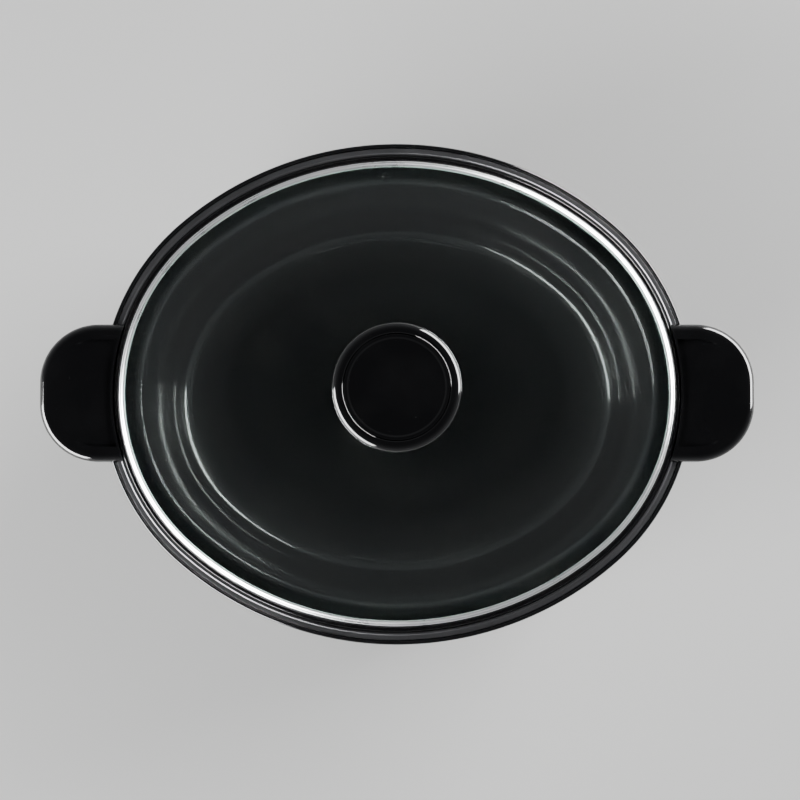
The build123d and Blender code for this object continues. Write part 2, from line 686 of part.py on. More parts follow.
def heat_shield():
    """Bright aluminium band that turns the heat back to the liner."""
    offset = 0.2 + BAND_T + SHIELD_GAP
    shield = wall_band(offset, 0.5, BAND_LOW - 3, BAND_HIGH + 4)
    return shield - back_notch(16, BAND_LOW - 5, BAND_HIGH + 6)


FUSE_X, FUSE_Y = -38.0, 34.0
FUSE_Z = LINER_FLOOR_Z - LINER_T - 4.0


def thermal_fuse():
    """Thermal cut-out lying against the liner's underside."""
    body = rod(2.6, (FUSE_X - 8, FUSE_Y, FUSE_Z), (FUSE_X + 8, FUSE_Y, FUSE_Z))
    leads = rod(0.6, (FUSE_X - 15, FUSE_Y, FUSE_Z), (FUSE_X + 15, FUSE_Y, FUSE_Z))
    return body + leads


def fuse_clip():
    """Spring strap that holds the thermal cut-out."""
    under = LINER_FLOOR_Z - LINER_T
    strap = block((FUSE_X - 4, FUSE_Y - 9, FUSE_Z - 4), (FUSE_X + 4, FUSE_Y + 9, under))
    room = block((FUSE_X - 5, FUSE_Y - 3.2, FUSE_Z - 3.2), (FUSE_X + 5, FUSE_Y + 3.2, under + 1))
    corners = [
        block((FUSE_X - 5, FUSE_Y + s * 7 - 3, FUSE_Z - 5), (FUSE_X + 5, FUSE_Y + s * 7 + 3, under - 0.8))
        for s in (-1, 1)
    ]
    return strap - room - corners[0] - corners[1]


BLOCK_X = (26.0, 62.0)
BLOCK_Y = (66.0, 80.0)
BLOCK_WAYS = (32.0, 44.0, 56.0)


def terminal_block():
    """Three-way block where the supply meets the inner wiring."""
    body = block((BLOCK_X[0], BLOCK_Y[0], FLOOR_TOP), (BLOCK_X[1], BLOCK_Y[1], FLOOR_TOP + 14))
    for x in BLOCK_WAYS:
        body -= rod(2.2, (x, BLOCK_Y[0] - 1, 15), (x, BLOCK_Y[1] + 1, 15))
        body -= rod(2.4, (x, sum(BLOCK_Y) / 2, 18), (x, sum(BLOCK_Y) / 2, 30))
    return body


def terminal_screws():
    """Brass clamp screws in the block."""
    y = sum(BLOCK_Y) / 2
    screws = [
        rod(2.2, (x, y, 18), (x, y, 21.5)) - block((x - 3, y - 0.4, 20.7), (x + 3, y + 0.4, 23))
        for x in BLOCK_WAYS
    ]
    return Compound(children=screws)


def earth_tab():
    """Spade tab spot-welded to the liner's underside."""
    under = LINER_FLOOR_Z - LINER_T
    return block((20, 20, under - 0.8), (32, 28, under)) + block((30, 21, under - 8), (30.8, 27, under))


# Supply inlet
GLAND_X, GLAND_Z = 0.0, CONTROL_Z
GLAND_NECK_R = 7.0
GLAND_BORE_R = 3.6
GLAND_OUT_Y = 129.5
GLAND_IN_Y = 113.0


def supply_gland():
    """Bush in the back wall that the supply lead would pass through."""
    wall_y = RIM_SHORT - wall_inset(GLAND_Z)
    neck = rod(GLAND_NECK_R, (GLAND_X, GLAND_IN_Y, GLAND_Z), (GLAND_X, wall_y + 2, GLAND_Z))
    collar = rod(11, (GLAND_X, wall_y + 1.5, GLAND_Z), (GLAND_X, GLAND_OUT_Y, GLAND_Z))
    collar = fillet(collar.edges().sort_by(Axis.Y)[-1], 2.5)
    clip = rod(8.6, (GLAND_X, GLAND_IN_Y, GLAND_Z), (GLAND_X, GLAND_IN_Y + 2.5, GLAND_Z))
    bore = rod(GLAND_BORE_R, (GLAND_X, 100, GLAND_Z), (GLAND_X, 140, GLAND_Z))
    return neck + collar + clip - bore


# Inner wiring
WIRE_R = 1.3


def wire(*route):
    """Insulated wire along straight runs with rounded corners."""
    path = FilletPolyline(*route, radius=7)
    return sweep(Plane(origin=path @ 0, z_dir=path % 0) * Circle(WIRE_R), path=path)


def wires():
    """Node name to each inner wire, from its terminal to where it ends."""
    rear = SWITCH_FRONT + SWITCH_DEEP + 6.1
    tab_z = CONTROL_Z - 4.1
    drop = BAND_LOW - 7.1
    low_tab, high_tab, common_tab = HEATER_TABS
    way = BLOCK_Y[0] - 0.1
    return {
        "wire_live": wire(
            (BLOCK_WAYS[0], way, 15), (BLOCK_WAYS[0], 46, 15), (24, -30, 22), (0, -62, tab_z),
            (0, rear, tab_z)
        ),
        "wire_heat_low": wire(
            (8, rear, tab_z), (8, -62, tab_z), (72, -20, 18), (78, 60, 18),
            (low_tab[0], low_tab[1], 26), (low_tab[0], low_tab[1], drop)
        ),
        "wire_heat_high": wire(
            (-8, rear, tab_z), (-8, -62, tab_z), (-30, -20, 30), (-14, 60, 30), (high_tab[0] - 14, 88, 30),
            (high_tab[0], high_tab[1], 32), (high_tab[0], high_tab[1], drop)
        ),
        "wire_neutral": wire(
            (BLOCK_WAYS[1], way, 15), (BLOCK_WAYS[1], 48, 15), (16, 46, 30), (FUSE_X + 34, FUSE_Y, FUSE_Z),
            (FUSE_X + 15.1, FUSE_Y, FUSE_Z)
        ),
        "wire_fuse_link": wire(
            (FUSE_X - 15.1, FUSE_Y, FUSE_Z), (FUSE_X - 30, FUSE_Y, FUSE_Z), (-62, 66, 38), (-20, 96, 36),
            (common_tab[0] - 12, 100, 36), (common_tab[0], common_tab[1], 38),
            (common_tab[0], common_tab[1], drop)
        ),
        "wire_earth": wire(
            (BLOCK_WAYS[2], way, 15), (BLOCK_WAYS[2], 44, 15), (48, 24, 24), (30.4, 24, 26),
            (30.4, 24, LINER_FLOOR_Z - LINER_T - 8.1)
        ),
    }


def main():
    """Builds every node and writes it."""
    os.makedirs("parts", exist_ok=True)
    handle = right_handle()
    housing_front, housing_back = housing_halves()
    nodes = {
        "crock": crock(),
        "lid_glass": lid_glass(),
        "lid_rim": lid_rim(),
        "lid_gasket": lid_gasket(),
        "lid_knob": lid_knob(),
        "lid_knob_cap": lid_knob_cap(),
        "lid_knob_insert": knob_insert(),
        "lid_washer": lid_washer(),
        "lid_screw": lid_screw(),
        "liner": liner(),
        "rim_bezel": rim_bezel(),
        "housing_front": housing_front,
        "housing_back": housing_back,
        "handle_right": handle,
        "handle_left": mirror(handle, Plane.YZ),
        "handle_screws_right": handle_screws(1),
        "handle_screws_left": handle_screws(-1),
        "base_pan": base_pan(),
        "pan_screws": pan_screws(),
        "centre_stud": centre_stud(),
        "stud_nut": stud_nut(),
        "control_fascia": control_fascia(),
        "fascia_screws": fascia_screws(),
        "control_knob": control_knob(),
        "knob_pointer": knob_pointer(),
        "knob_ring": knob_ring(),
        "switch_shaft": switch_shaft(),
        "rotary_switch": rotary_switch(),
        "switch_bracket": switch_bracket(),
        "switch_nut": switch_nut(),
        "lamp_lens": lamp_lens(),
        "lamp_body": lamp_body(),
        "heater_band": heater_band(),
        "band_clamp": band_clamp(),
        "heat_shield": heat_shield(),
        "thermal_fuse": thermal_fuse(),
        "fuse_clip": fuse_clip(),
        "terminal_block": terminal_block(),
        "terminal_screws": terminal_screws(),
        "earth_tab": earth_tab(),
        "supply_gland": supply_gland(),
        **{f"foot_{place}": foot(x, y) for place, (x, y) in FEET.items()},
        **wires(),
    }
    for name, shape in nodes.items():
        save(name, shape)
        print(name, round(shape.volume))


main()
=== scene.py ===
"""The looks of an oval slow cooker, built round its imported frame.

Lengths are in metres, in the frame's own axes: +X to the right handle, +Y to the back where the
supply enters, +Z up, with the control knob facing -Y. Heights and half widths are read from the
frame's nodes, so a piece follows its CAD solid when that changes.
"""

import logging
import math
from dataclasses import dataclass, field
from enum import Enum
from typing import Any, Sequence

import bpy
import numpy as np
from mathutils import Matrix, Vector

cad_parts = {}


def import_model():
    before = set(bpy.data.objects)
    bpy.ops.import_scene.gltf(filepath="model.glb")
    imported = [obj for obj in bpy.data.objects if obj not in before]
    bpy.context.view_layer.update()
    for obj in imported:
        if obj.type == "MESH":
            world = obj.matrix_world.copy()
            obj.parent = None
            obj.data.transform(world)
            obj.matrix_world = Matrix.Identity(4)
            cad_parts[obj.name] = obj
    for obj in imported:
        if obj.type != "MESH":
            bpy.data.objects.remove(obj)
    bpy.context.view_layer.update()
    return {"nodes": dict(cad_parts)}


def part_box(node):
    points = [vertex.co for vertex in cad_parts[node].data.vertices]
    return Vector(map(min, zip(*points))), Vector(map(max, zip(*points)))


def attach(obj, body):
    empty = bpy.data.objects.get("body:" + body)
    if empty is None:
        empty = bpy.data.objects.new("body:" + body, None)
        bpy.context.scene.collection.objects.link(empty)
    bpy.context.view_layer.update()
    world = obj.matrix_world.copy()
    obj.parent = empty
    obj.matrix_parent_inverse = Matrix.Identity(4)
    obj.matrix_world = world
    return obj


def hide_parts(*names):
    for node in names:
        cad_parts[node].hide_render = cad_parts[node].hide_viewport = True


LOG = logging.getLogger("slow_cooker")
MM = 0.001
TINY = 1e-9
Corner = tuple[float, float, float]
Triple = tuple[float, float, float]
Grid = np.ndarray

# The wall's two pressings, which one piece stands for.
WALLS = ("housing_front", "housing_back")


class Body(Enum):
    """The frame's moving bodies."""

    BASE = "base"
    CROCK = "crock"
    LID = "lid"
    DIAL = "dial"


# ---------------------------------------------------------------- outlines and surfaces


def unit(vector: np.ndarray) -> np.ndarray:
    """The vector at length one."""
    return vector / np.linalg.norm(vector)


def rounded(corners: Sequence[Corner], closed: bool = False, steps: int = 7) -> np.ndarray:
    """Runs a line through corners and turns each one on a circular arc.

    An arc of radius r in a corner of inner angle 2h starts and ends r / tan(h) from the corner, about
    a centre r / sin(h) along the bisector. Its points are the first radius turned by even steps.

    Args:
        corners: (first, second, radius) of each corner, with radius 0 for a sharp one.
        closed: True if the line returns to its first corner.
        steps: Runs that each arc is cut into.

    Returns:
        The line's points as an (M, 2) array.
    """
    points = np.array([corner[:2] for corner in corners], float)
    last = len(points) - 1
    line = []
    for place, (here, corner) in enumerate(zip(points, corners)):
        radius = corner[2]
        if radius <= 0 or (not closed and place in (0, last)):
            line.append(here[None])
            continue
        back, ahead = unit(points[place - 1] - here), unit(points[(place + 1) % len(points)] - here)
        half = 0.5 * math.acos(float(np.clip(back @ ahead, -1, 1)))
        reach = radius / math.tan(half)
        centre = here + unit(back + ahead) * radius / math.sin(half)
        arm, end = here + back * reach - centre, here + ahead * reach - centre
        turn = math.atan2(arm[0] * end[1] - arm[1] * end[0], float(arm @ end))
        angle = np.linspace(0, turn, steps + 1)[:, None]
        line.append(centre + arm * np.cos(angle) + np.array([-arm[1], arm[0]]) * np.sin(angle))
    return np.concatenate(line)


def subdivided(line: np.ndarray, longest: float) -> np.ndarray:
    """Cuts each run of an open line into equal parts no longer than a length."""
    pieces = [line[:1]]
    for start, end in zip(line[:-1], line[1:]):
        count = max(1, math.ceil(np.linalg.norm(end - start) / longest))
        pieces.append(start + (end - start) * (np.arange(1, count + 1) / count)[:, None])
    return np.concatenate(pieces)


@dataclass(frozen=True)
class Oval:
    """An outline of four tangent arcs: two end arcs on the X axis and two side arcs across it."""

    long: float
    short: float
    end_radius: float = 119 * MM
    core: float = 70 * MM

    @property
    def end_x(self) -> float:
        """X of the right end arc's centre."""
        return self.long - self.end_radius

    @property
    def side_y(self) -> float:
        """How far beyond the middle the centre of the opposite side's arc lies."""
        rise = self.short - self.end_radius
        return (self.end_x**2 - rise**2) / (2 * rise)

    @property
    def side_radius(self) -> float:
        """Radius of the two side arcs."""
        return self.short + self.side_y

    def at(self, direction: np.ndarray, inset: np.ndarray) -> np.ndarray:
        """Points of the outline drawn in by a distance.

        A point is its arc's centre plus (the arc's radius - inset) times its outward direction. Past
        the core inset the outline shrinks towards the middle in proportion, and is there at inset short.

        Args:
            direction: Angles of the outward direction from +X.
            inset: Distances inside the outline, in an array that broadcasts with direction.

        Returns:
            X and Y in a last axis of two.
        """
        join = math.atan2(self.side_y, self.end_x)
        across, up = np.cos(direction), np.sin(direction)
        on_end = np.abs(up) <= math.sin(join)
        kept = np.minimum(inset, self.core)
        radius = np.where(on_end, self.end_radius, self.side_radius) - kept
        x = np.where(on_end, np.sign(across) * self.end_x, 0) + radius * across
        y = np.where(on_end, 0, -np.sign(up) * self.side_y) + radius * up
        share = 1 - (np.maximum(inset, self.core) - self.core) / (self.short - self.core)
        return np.stack([x * share, y * share], axis=-1)

    def swept(self, profile: np.ndarray, columns: int = 256) -> Grid:
        """Carries a profile of (inset, height) points round the outline as an (M, columns, 3) grid."""
        direction = np.linspace(0, 2 * math.pi, columns, endpoint=False)[None]
        flat = self.at(direction, profile[:, :1])
        height = np.broadcast_to(profile[:, 1:2], flat.shape[:2])
        return np.concatenate([flat, height[..., None]], axis=-1)

    def end_line(self, y: np.ndarray, inset: float) -> np.ndarray:
        """X of the right end arc at each y, at an inset."""
        return self.end_x + np.sqrt((self.end_radius - inset) ** 2 - y**2)

    def side_line(self, x: np.ndarray, inset: np.ndarray | float) -> np.ndarray:
        """Y of the back side arc at each x, at an inset."""
        return np.sqrt((self.side_radius - inset) ** 2 - x**2) - self.side_y


def turned(profile: np.ndarray, columns: int = 96) -> Grid:
    """Carries a profile of (radius, height) points round the Z axis: x, y = radius (cos a, sin a)."""
    angle = np.linspace(0, 2 * math.pi, columns, endpoint=False)[None]
    radius = profile[:, :1]
    height = np.broadcast_to(profile[:, 1:2], (len(profile), columns))
    return np.stack([radius * np.cos(angle), radius * np.sin(angle), height], axis=-1)


def facing_front(grid: Grid, x: float, y: float, z: float) -> Grid:
    """Turns a grid built along +Z to point to -Y from a place: (a, b, c) goes to (x + a, y - c, z + b)."""
    return np.stack([x + grid[..., 0], y - grid[..., 2], z + grid[..., 1]], axis=-1)


def facing_back(grid: Grid, x: float, y: float, z: float) -> Grid:
    """Turns a grid built along +Z to point to +Y from a place: (a, b, c) goes to (x - a, y + c, z + b)."""
    return np.stack([x - grid[..., 0], y + grid[..., 2], z + grid[..., 1]], axis=-1)


def corner_loops(grid: Grid, closed: bool) -> np.ndarray:
    """Corners of the quads between a grid's rows, each row a closed ring, as (faces, 4) point numbers.

    An end row whose points coincide is a pole and counts as one point, so its quads repeat a corner.
    """
    rows, columns = grid.shape[:2]
    index = np.arange(rows * columns).reshape(rows, columns)
    if not closed:
        for end in (0, -1):
            if np.ptp(grid[end], axis=0).max() < TINY:
                index[end] = index[end, 0]
    below = index if closed else index[:-1]
    above = np.roll(index, -1, axis=0) if closed else index[1:]
    ring = [below, np.roll(below, -1, axis=1), np.roll(above, -1, axis=1), above]
    return np.stack(ring, axis=-1).reshape(-1, 4)


def skin(name: str, grids: Sequence[Grid], closed: bool = False, crease: float = 32) -> bpy.types.Object:
    """Makes one piece from grids of rings, each grid a closed shell of its own.

    A shell's quads are turned round if its volume, the sum of a . (b x c) over its triangles, is
    negative, so that all faces point outwards. Its UV map is metres round the ring and along it.

    Args:
        name: The piece's name.
        grids: (rows, columns, 3) arrays of points.
        closed: True if each grid's last row joins its first, and otherwise both ends are poles.
        crease: Angle between faces, in degrees, from which an edge is sharp.

    Returns:
        The new object, at the origin.
    """
    points, quads, uvs, offset = [], [], [], 0
    for grid in grids:
        flat, loops = grid.reshape(-1, 3), corner_loops(grid, closed)
        a, b, c, d = (flat[loops[:, corner]] for corner in range(4))
        volume = (a * (np.cross(b, c) + np.cross(c, d))).sum()
        loops = loops if volume > 0 else loops[:, ::-1]
        around = np.linalg.norm(np.roll(grid, -1, axis=1) - grid, axis=-1).max(axis=0).cumsum()
        along = np.linalg.norm(np.diff(grid, axis=0, prepend=grid[:1]), axis=-1).max(axis=1).cumsum()
        uvs.append(np.stack(np.broadcast_arrays(around[None], along[:, None]), axis=-1).reshape(-1, 2))
        points.append(flat)
        quads.append(loops + offset)
        offset += len(flat)
    points, quads, uvs = np.concatenate(points), np.concatenate(quads), np.concatenate(uvs)
    kept = quads != np.roll(quads, -1, axis=1)
    totals = kept.sum(axis=1)
    kept, totals = kept & (totals >= 3)[:, None], totals[totals >= 3]
    loops = quads[kept]
    used, corners = np.unique(loops, return_inverse=True)
    mesh = bpy.data.meshes.new(name)
    mesh.vertices.add(len(used))
    mesh.vertices.foreach_set("co", points[used].astype(np.float32).ravel())
    mesh.loops.add(len(corners))
    mesh.loops.foreach_set("vertex_index", corners.astype(np.int32).ravel())
    mesh.polygons.add(len(totals))
    mesh.polygons.foreach_set("loop_start", np.concatenate([[0], totals.cumsum()[:-1]]).astype(np.int32))
    layer = mesh.uv_layers.new(name="along")
    layer.uv.foreach_set("vector", uvs[loops].astype(np.float32).ravel())
    mesh.update(calc_edges=True)
    mesh.validate()
    return placed(name, mesh, crease)


def placed(name: str, mesh: bpy.types.Mesh, crease: float) -> bpy.types.Object:
    """Links a mesh as an object with smooth faces, sharp edges past an angle and flats kept flat."""
    mesh.shade_smooth()
    mesh.set_sharp_from_angle(angle=math.radians(crease))
    piece = bpy.data.objects.new(name, mesh)
    bpy.context.scene.collection.objects.link(piece)
    flats = piece.modifiers.new("flats", "WEIGHTED_NORMAL")
    flats.keep_sharp = True
    return piece


def evaluated(piece: bpy.types.Object) -> bpy.types.Mesh:
    """A new mesh of the object as its modifiers leave it."""
    bpy.context.view_layer.update()
    return bpy.data.meshes.new_from_object(piece.evaluated_get(bpy.context.evaluated_depsgraph_get()))


# ---------------------------------------------------------------- shader maths


class Value:
    """A number socket whose arithmetic adds Math nodes to its material."""

    def __init__(self, net: "Net", socket: bpy.types.NodeSocket) -> None:
        """Wraps an output socket of a material's node tree."""
        self.net = net
        self.socket = socket

    def _math(self, operation: str, *inputs: Any, clamped: bool = False) -> "Value":
        """A Math node of that operation on the inputs."""
        settings = {"operation": operation, "use_clamp": clamped}
        node = self.net.node("ShaderNodeMath", settings, dict(enumerate(inputs)))
        return Value(self.net, node.outputs[0])

    def __add__(self, other: "Value | float") -> "Value":
        """This plus the other."""
        return self._math("ADD", self, other)

    def __sub__(self, other: "Value | float") -> "Value":
        """This less the other."""
        return self._math("SUBTRACT", self, other)

    def __rsub__(self, other: "Value | float") -> "Value":
        """The other less this."""
        return self._math("SUBTRACT", other, self)

    def __mul__(self, other: "Value | float") -> "Value":
        """This times the other."""
        return self._math("MULTIPLY", self, other)

    def __pow__(self, other: "Value | float") -> "Value":
        """This to the power of the other."""
        return self._math("POWER", self, other)

    def above(self, low: float, high: float) -> "Value":
        """0 below low, 1 above high and a straight line between."""
        return self._math("MULTIPLY", self - low, 1 / (high - low), clamped=True)

    __radd__ = __add__
    __rmul__ = __mul__


Owner = bpy.types.Material | bpy.types.World


class Net:
    """One node tree, of a material or of the surround."""

    def __init__(self, owner: Owner, output: str = "ShaderNodeOutputMaterial") -> None:
        """Empties the owner's tree down to an output node and a source of coordinates."""
        owner.use_nodes = True
        self.owner = owner
        self.tree = owner.node_tree
        self.tree.nodes.clear()
        self.output = self.node(output)
        self.coordinates = self.node("ShaderNodeTexCoord")

    @classmethod
    def named(cls, name: str) -> "Net":
        """Starts an empty material."""
        return cls(bpy.data.materials.new(name))

    def node(
        self, kind: str, settings: dict[str, Any] | None = None, inputs: dict[Any, Any] | None = None
    ) -> bpy.types.Node:
        """Adds a node.

        Args:
            kind: The node's type.
            settings: Its properties, set first.
            inputs: Each input's name or number, with the number, tuple, Value, socket or node for it.

        Returns:
            The node.
        """
        made = self.tree.nodes.new(kind)
        for name, setting in (settings or {}).items():
            setattr(made, name, setting)
        for name, given in (inputs or {}).items():
            given = given.socket if isinstance(given, Value) else given
            given = given.outputs[0] if isinstance(given, bpy.types.Node) else given
            if isinstance(given, bpy.types.NodeSocket):
                self.tree.links.new(given, made.inputs[name])
            else:
                made.inputs[name].default_value = given
        return made

    def space(self, stretch: Triple = (1, 1, 1), source: str = "Object") -> bpy.types.Node:
        """The piece's own coordinates, stretched along each axis."""
        inputs = {"Vector": self.coordinates.outputs[source], "Scale": stretch}
        return self.node("ShaderNodeMapping", None, inputs)

    def noise(
        self, size: float, detail: float = 2, stretch: Triple = (1, 1, 1), source: str = "Object"
    ) -> Value:
        """Noise from 0 to 1 whose blotches are about a size across, in metres."""
        inputs = {"Vector": self.space(stretch, source), "Scale": 1 / size, "Detail": detail}
        return Value(self, self.node("ShaderNodeTexNoise", None, inputs).outputs["Fac"])

    def specks(self, spacing: float, radius: float) -> Value:
        """1 inside small dots that lie about a spacing apart, and 0 between them."""
        inputs = {"Vector": self.space(), "Scale": 1 / spacing}
        distance = Value(self, self.node("ShaderNodeTexVoronoi", None, inputs).outputs["Distance"])
        return 1 - distance.above(0.5 * radius / spacing, radius / spacing)

    def tint(self, share: Value, low: Sequence[float], high: Sequence[float]) -> bpy.types.NodeSocket:
        """A colour between two, by a share from 0 to 1."""
        mix = self.node("ShaderNodeMix", {"data_type": "RGBA"}, {0: share, 6: (*low, 1), 7: (*high, 1)})
        return mix.outputs[2]

    def relief(self, height: Value, depth: float) -> bpy.types.Node:
        """A bump whose full height is a depth in metres."""
        return self.node("ShaderNodeBump", None, {"Height": height, "Distance": depth, "Strength": 1.0})

    def finish(self, inputs: dict[str, Any]) -> bpy.types.Material:
        """Ends the tree in one Principled shader with those inputs."""
        shader = self.node("ShaderNodeBsdfPrincipled", None, inputs)
        return self.surface(shader)

    def surface(self, shader: bpy.types.Node) -> Owner:
        """Joins a shader to the output and gives back the tree's owner."""
        self.tree.links.new(shader.outputs[0], self.output.inputs["Surface"])
        return self.owner


# ---------------------------------------------------------------- finishes


@dataclass(frozen=True)
class MouldedGloss:
    """Glossy moulded plastic: a faint swell from the mould, hairline scuffs and a little settled dust."""

    name: str
    colour: Triple
    roughness: float = 0.07
    swell: float = 0.010 * MM
    dust: float = 0.10

    def make(self) -> bpy.types.Material:
        """Builds the material."""
        net = Net.named(self.name)
        haze = net.noise(26 * MM, 3).above(0.42, 0.75)
        scuffs = net.noise(0.5 * MM, 2, (1, 0.05, 0.3)).above(0.62, 0.78)
        motes = net.specks(5 * MM, 0.16 * MM) * net.noise(9 * MM, 2).above(0.45, 0.6)
        dusted = tuple(channel + self.dust for channel in self.colour)
        return net.finish({
            "Base Color": net.tint(motes + haze * 0.02, self.colour, dusted),
            "Roughness": self.roughness + haze * 0.05 + scuffs * 0.03 + motes * 0.4,
            "IOR": 1.5,
            "Normal": net.relief(net.noise(7 * MM, 2), self.swell),
        })


@dataclass(frozen=True)
class Glaze:
    """Fired glaze over stoneware: deep gloss that pools and ripples, with pinholes and faint iron specks."""

    name: str
    colour: Triple
    speck: Triple

    def make(self) -> bpy.types.Material:
        """Builds the material."""
        net = Net.named(self.name)
        pooled = net.noise(34 * MM, 3)
        iron = net.specks(3.2 * MM, 0.28 * MM) * net.noise(12 * MM, 2).above(0.5, 0.62)
        ripple = net.noise(16 * MM, 1)
        return net.finish({
            "Base Color": net.tint(iron * 0.7 + pooled.above(0.35, 0.8) * 0.03, self.colour, self.speck),
            "Roughness": 0.09 + pooled.above(0.4, 0.7) * 0.07,
            "Coat Weight": 0.25,
            "Coat Roughness": 0.04,
            "Normal": net.relief(ripple, 0.05 * MM),
        })


@dataclass(frozen=True)
class ClearGlass:
    """Pressed clear glass with a green cast, which lets lamps through to what is under it."""

    name: str
    colour: Triple

    def make(self) -> bpy.types.Material:
        """Builds the material."""
        net = Net.named(self.name)
        wave = net.noise(40 * MM, 1)
        glass = net.node("ShaderNodeBsdfPrincipled", None, {
            "Base Color": (*self.colour, 1),
            "Roughness": 0.0,
            "IOR": 1.5,
            "Transmission Weight": 1.0,
            "Normal": net.relief(wave, 0.03 * MM),
        })
        clear = net.node("ShaderNodeBsdfTransparent", None, {"Color": (*self.colour, 1)})
        lamp_ray = net.node("ShaderNodeLightPath").outputs["Is Shadow Ray"]
        return net.surface(net.node("ShaderNodeMixShader", None, {0: lamp_ray, 1: glass, 2: clear}))


@dataclass(frozen=True)
class Metal:
    """Bare or plated metal with drawn grain along the piece, smears and fine scratches."""

    name: str
    colour: Triple
    roughness: float
    grain: float = 0.08
    along: bool = False

    def make(self) -> bpy.types.Material:
        """Builds the material."""
        net = Net.named(self.name)
        source, stretch = ("UV", (0.02, 1, 1)) if self.along else ("Object", (0.15, 1, 1))
        drawn = net.noise(0.35 * MM, 3, stretch, source)
        smear = net.noise(22 * MM, 3).above(0.4, 0.75)
        worn = tuple(channel * 0.8 for channel in self.colour)
        return net.finish({
            "Base Color": net.tint(smear * 0.5, self.colour, worn),
            "Metallic": 1.0,
            "Roughness": self.roughness + drawn * self.grain + smear * 0.06,
            "Normal": net.relief(drawn, 0.004 * MM),
        })


@dataclass(frozen=True)
class Grained:
    """Matt moulded plastic or rubber with a fine leathery mould texture and rubbed patches."""

    name: str
    colour: Triple
    roughness: float = 0.55
    grain: float = 0.9 * MM
    depth: float = 0.05 * MM
    refraction: float = 1.5

    def make(self) -> bpy.types.Material:
        """Builds the material."""
        net = Net.named(self.name)
        inputs = {"Vector": net.space(), "Scale": 1 / self.grain}
        pebbles = net.node("ShaderNodeTexVoronoi", {"feature": "SMOOTH_F1"}, inputs)
        height = Value(net, pebbles.outputs["Distance"]) + net.noise(0.3 * MM, 2) * 0.4
        rubbed = net.noise(30 * MM, 3).above(0.45, 0.75)
        pale = tuple(channel * 1.5 + 0.003 for channel in self.colour)
        return net.finish({
            "Base Color": net.tint(rubbed * 0.6, self.colour, pale),
            "Roughness": self.roughness + rubbed * -0.12,
            "IOR": self.refraction,
            "Normal": net.relief(height, self.depth),
        })


@dataclass(frozen=True)
class LampPlastic:
    """Tinted see-through plastic of a lamp lens, a little cloudy."""

    name: str
    colour: Triple

    def make(self) -> bpy.types.Material:
        """Builds the material."""
        net = Net.named(self.name)
        cloud = net.noise(2 * MM, 2)
        deep = tuple(channel * 0.6 for channel in self.colour)
        return net.finish({
            "Base Color": net.tint(cloud, deep, self.colour),
            "Roughness": 0.12 + cloud * 0.1,
            "Transmission Weight": 0.5,
            "Normal": net.relief(cloud, 0.02 * MM),
        })


Finish = MouldedGloss | Glaze | ClearGlass | Metal | Grained | LampPlastic

BLACK = (0.0045, 0.0045, 0.005)
GLOSS = MouldedGloss("gloss_black", BLACK)
SATIN = Metal("satin_rim", (0.105, 0.105, 0.11), 0.30, grain=0.10, along=True)
ENAMEL = MouldedGloss("body_enamel", (0.006, 0.006, 0.0065), roughness=0.09, swell=0.016 * MM)
BLACK_GLAZE = Glaze("black_glaze", (0.004, 0.004, 0.0045), (0.075, 0.055, 0.04))
GLASS = ClearGlass("clear_glass", (0.90, 0.965, 0.94))
POLISHED = Metal("polished_steel", (0.90, 0.90, 0.91), 0.24, grain=0.06, along=True)
CHROME = Metal("dial_chrome", (0.84, 0.84, 0.85), 0.06, grain=0.04, along=True)
ZINC = Metal("zinc_plate", (0.60, 0.61, 0.62), 0.30)
COATED = Metal("coated_steel", (0.42, 0.43, 0.44), 0.38, grain=0.14)
FOIL = Metal("bright_foil", (0.82, 0.83, 0.84), 0.24)
BRASS = Metal("brass", (0.70, 0.52, 0.24), 0.25)
PAN_PLASTIC = Grained("base_plastic", (0.007, 0.007, 0.0075), refraction=1.3)
RUBBER = Grained("foot_rubber", (0.010, 0.010, 0.010), roughness=0.75, grain=1.6 * MM, refraction=1.3)
SILICONE = Grained("silicone", (0.04, 0.04, 0.04), roughness=0.6, depth=0.01 * MM)
NYLON = Grained("switch_plastic", (0.62, 0.59, 0.50), depth=0.02 * MM)
MICA = Grained("heater_mica", (0.36, 0.29, 0.20), roughness=0.6, grain=2.2 * MM)
WHITE_INK = MouldedGloss("white_ink", (0.75, 0.75, 0.73), roughness=0.3, dust=0.02)
AMBER = LampPlastic("lamp_amber", (0.85, 0.25, 0.03))
BROWN_WIRE = Grained("wire_brown", (0.12, 0.055, 0.03), roughness=0.5, depth=0.01 * MM)
BLUE_WIRE = Grained("wire_blue", (0.03, 0.08, 0.26), roughness=0.5, depth=0.01 * MM)
GREEN_WIRE = Grained("wire_green", (0.10, 0.28, 0.06), roughness=0.5, depth=0.01 * MM)


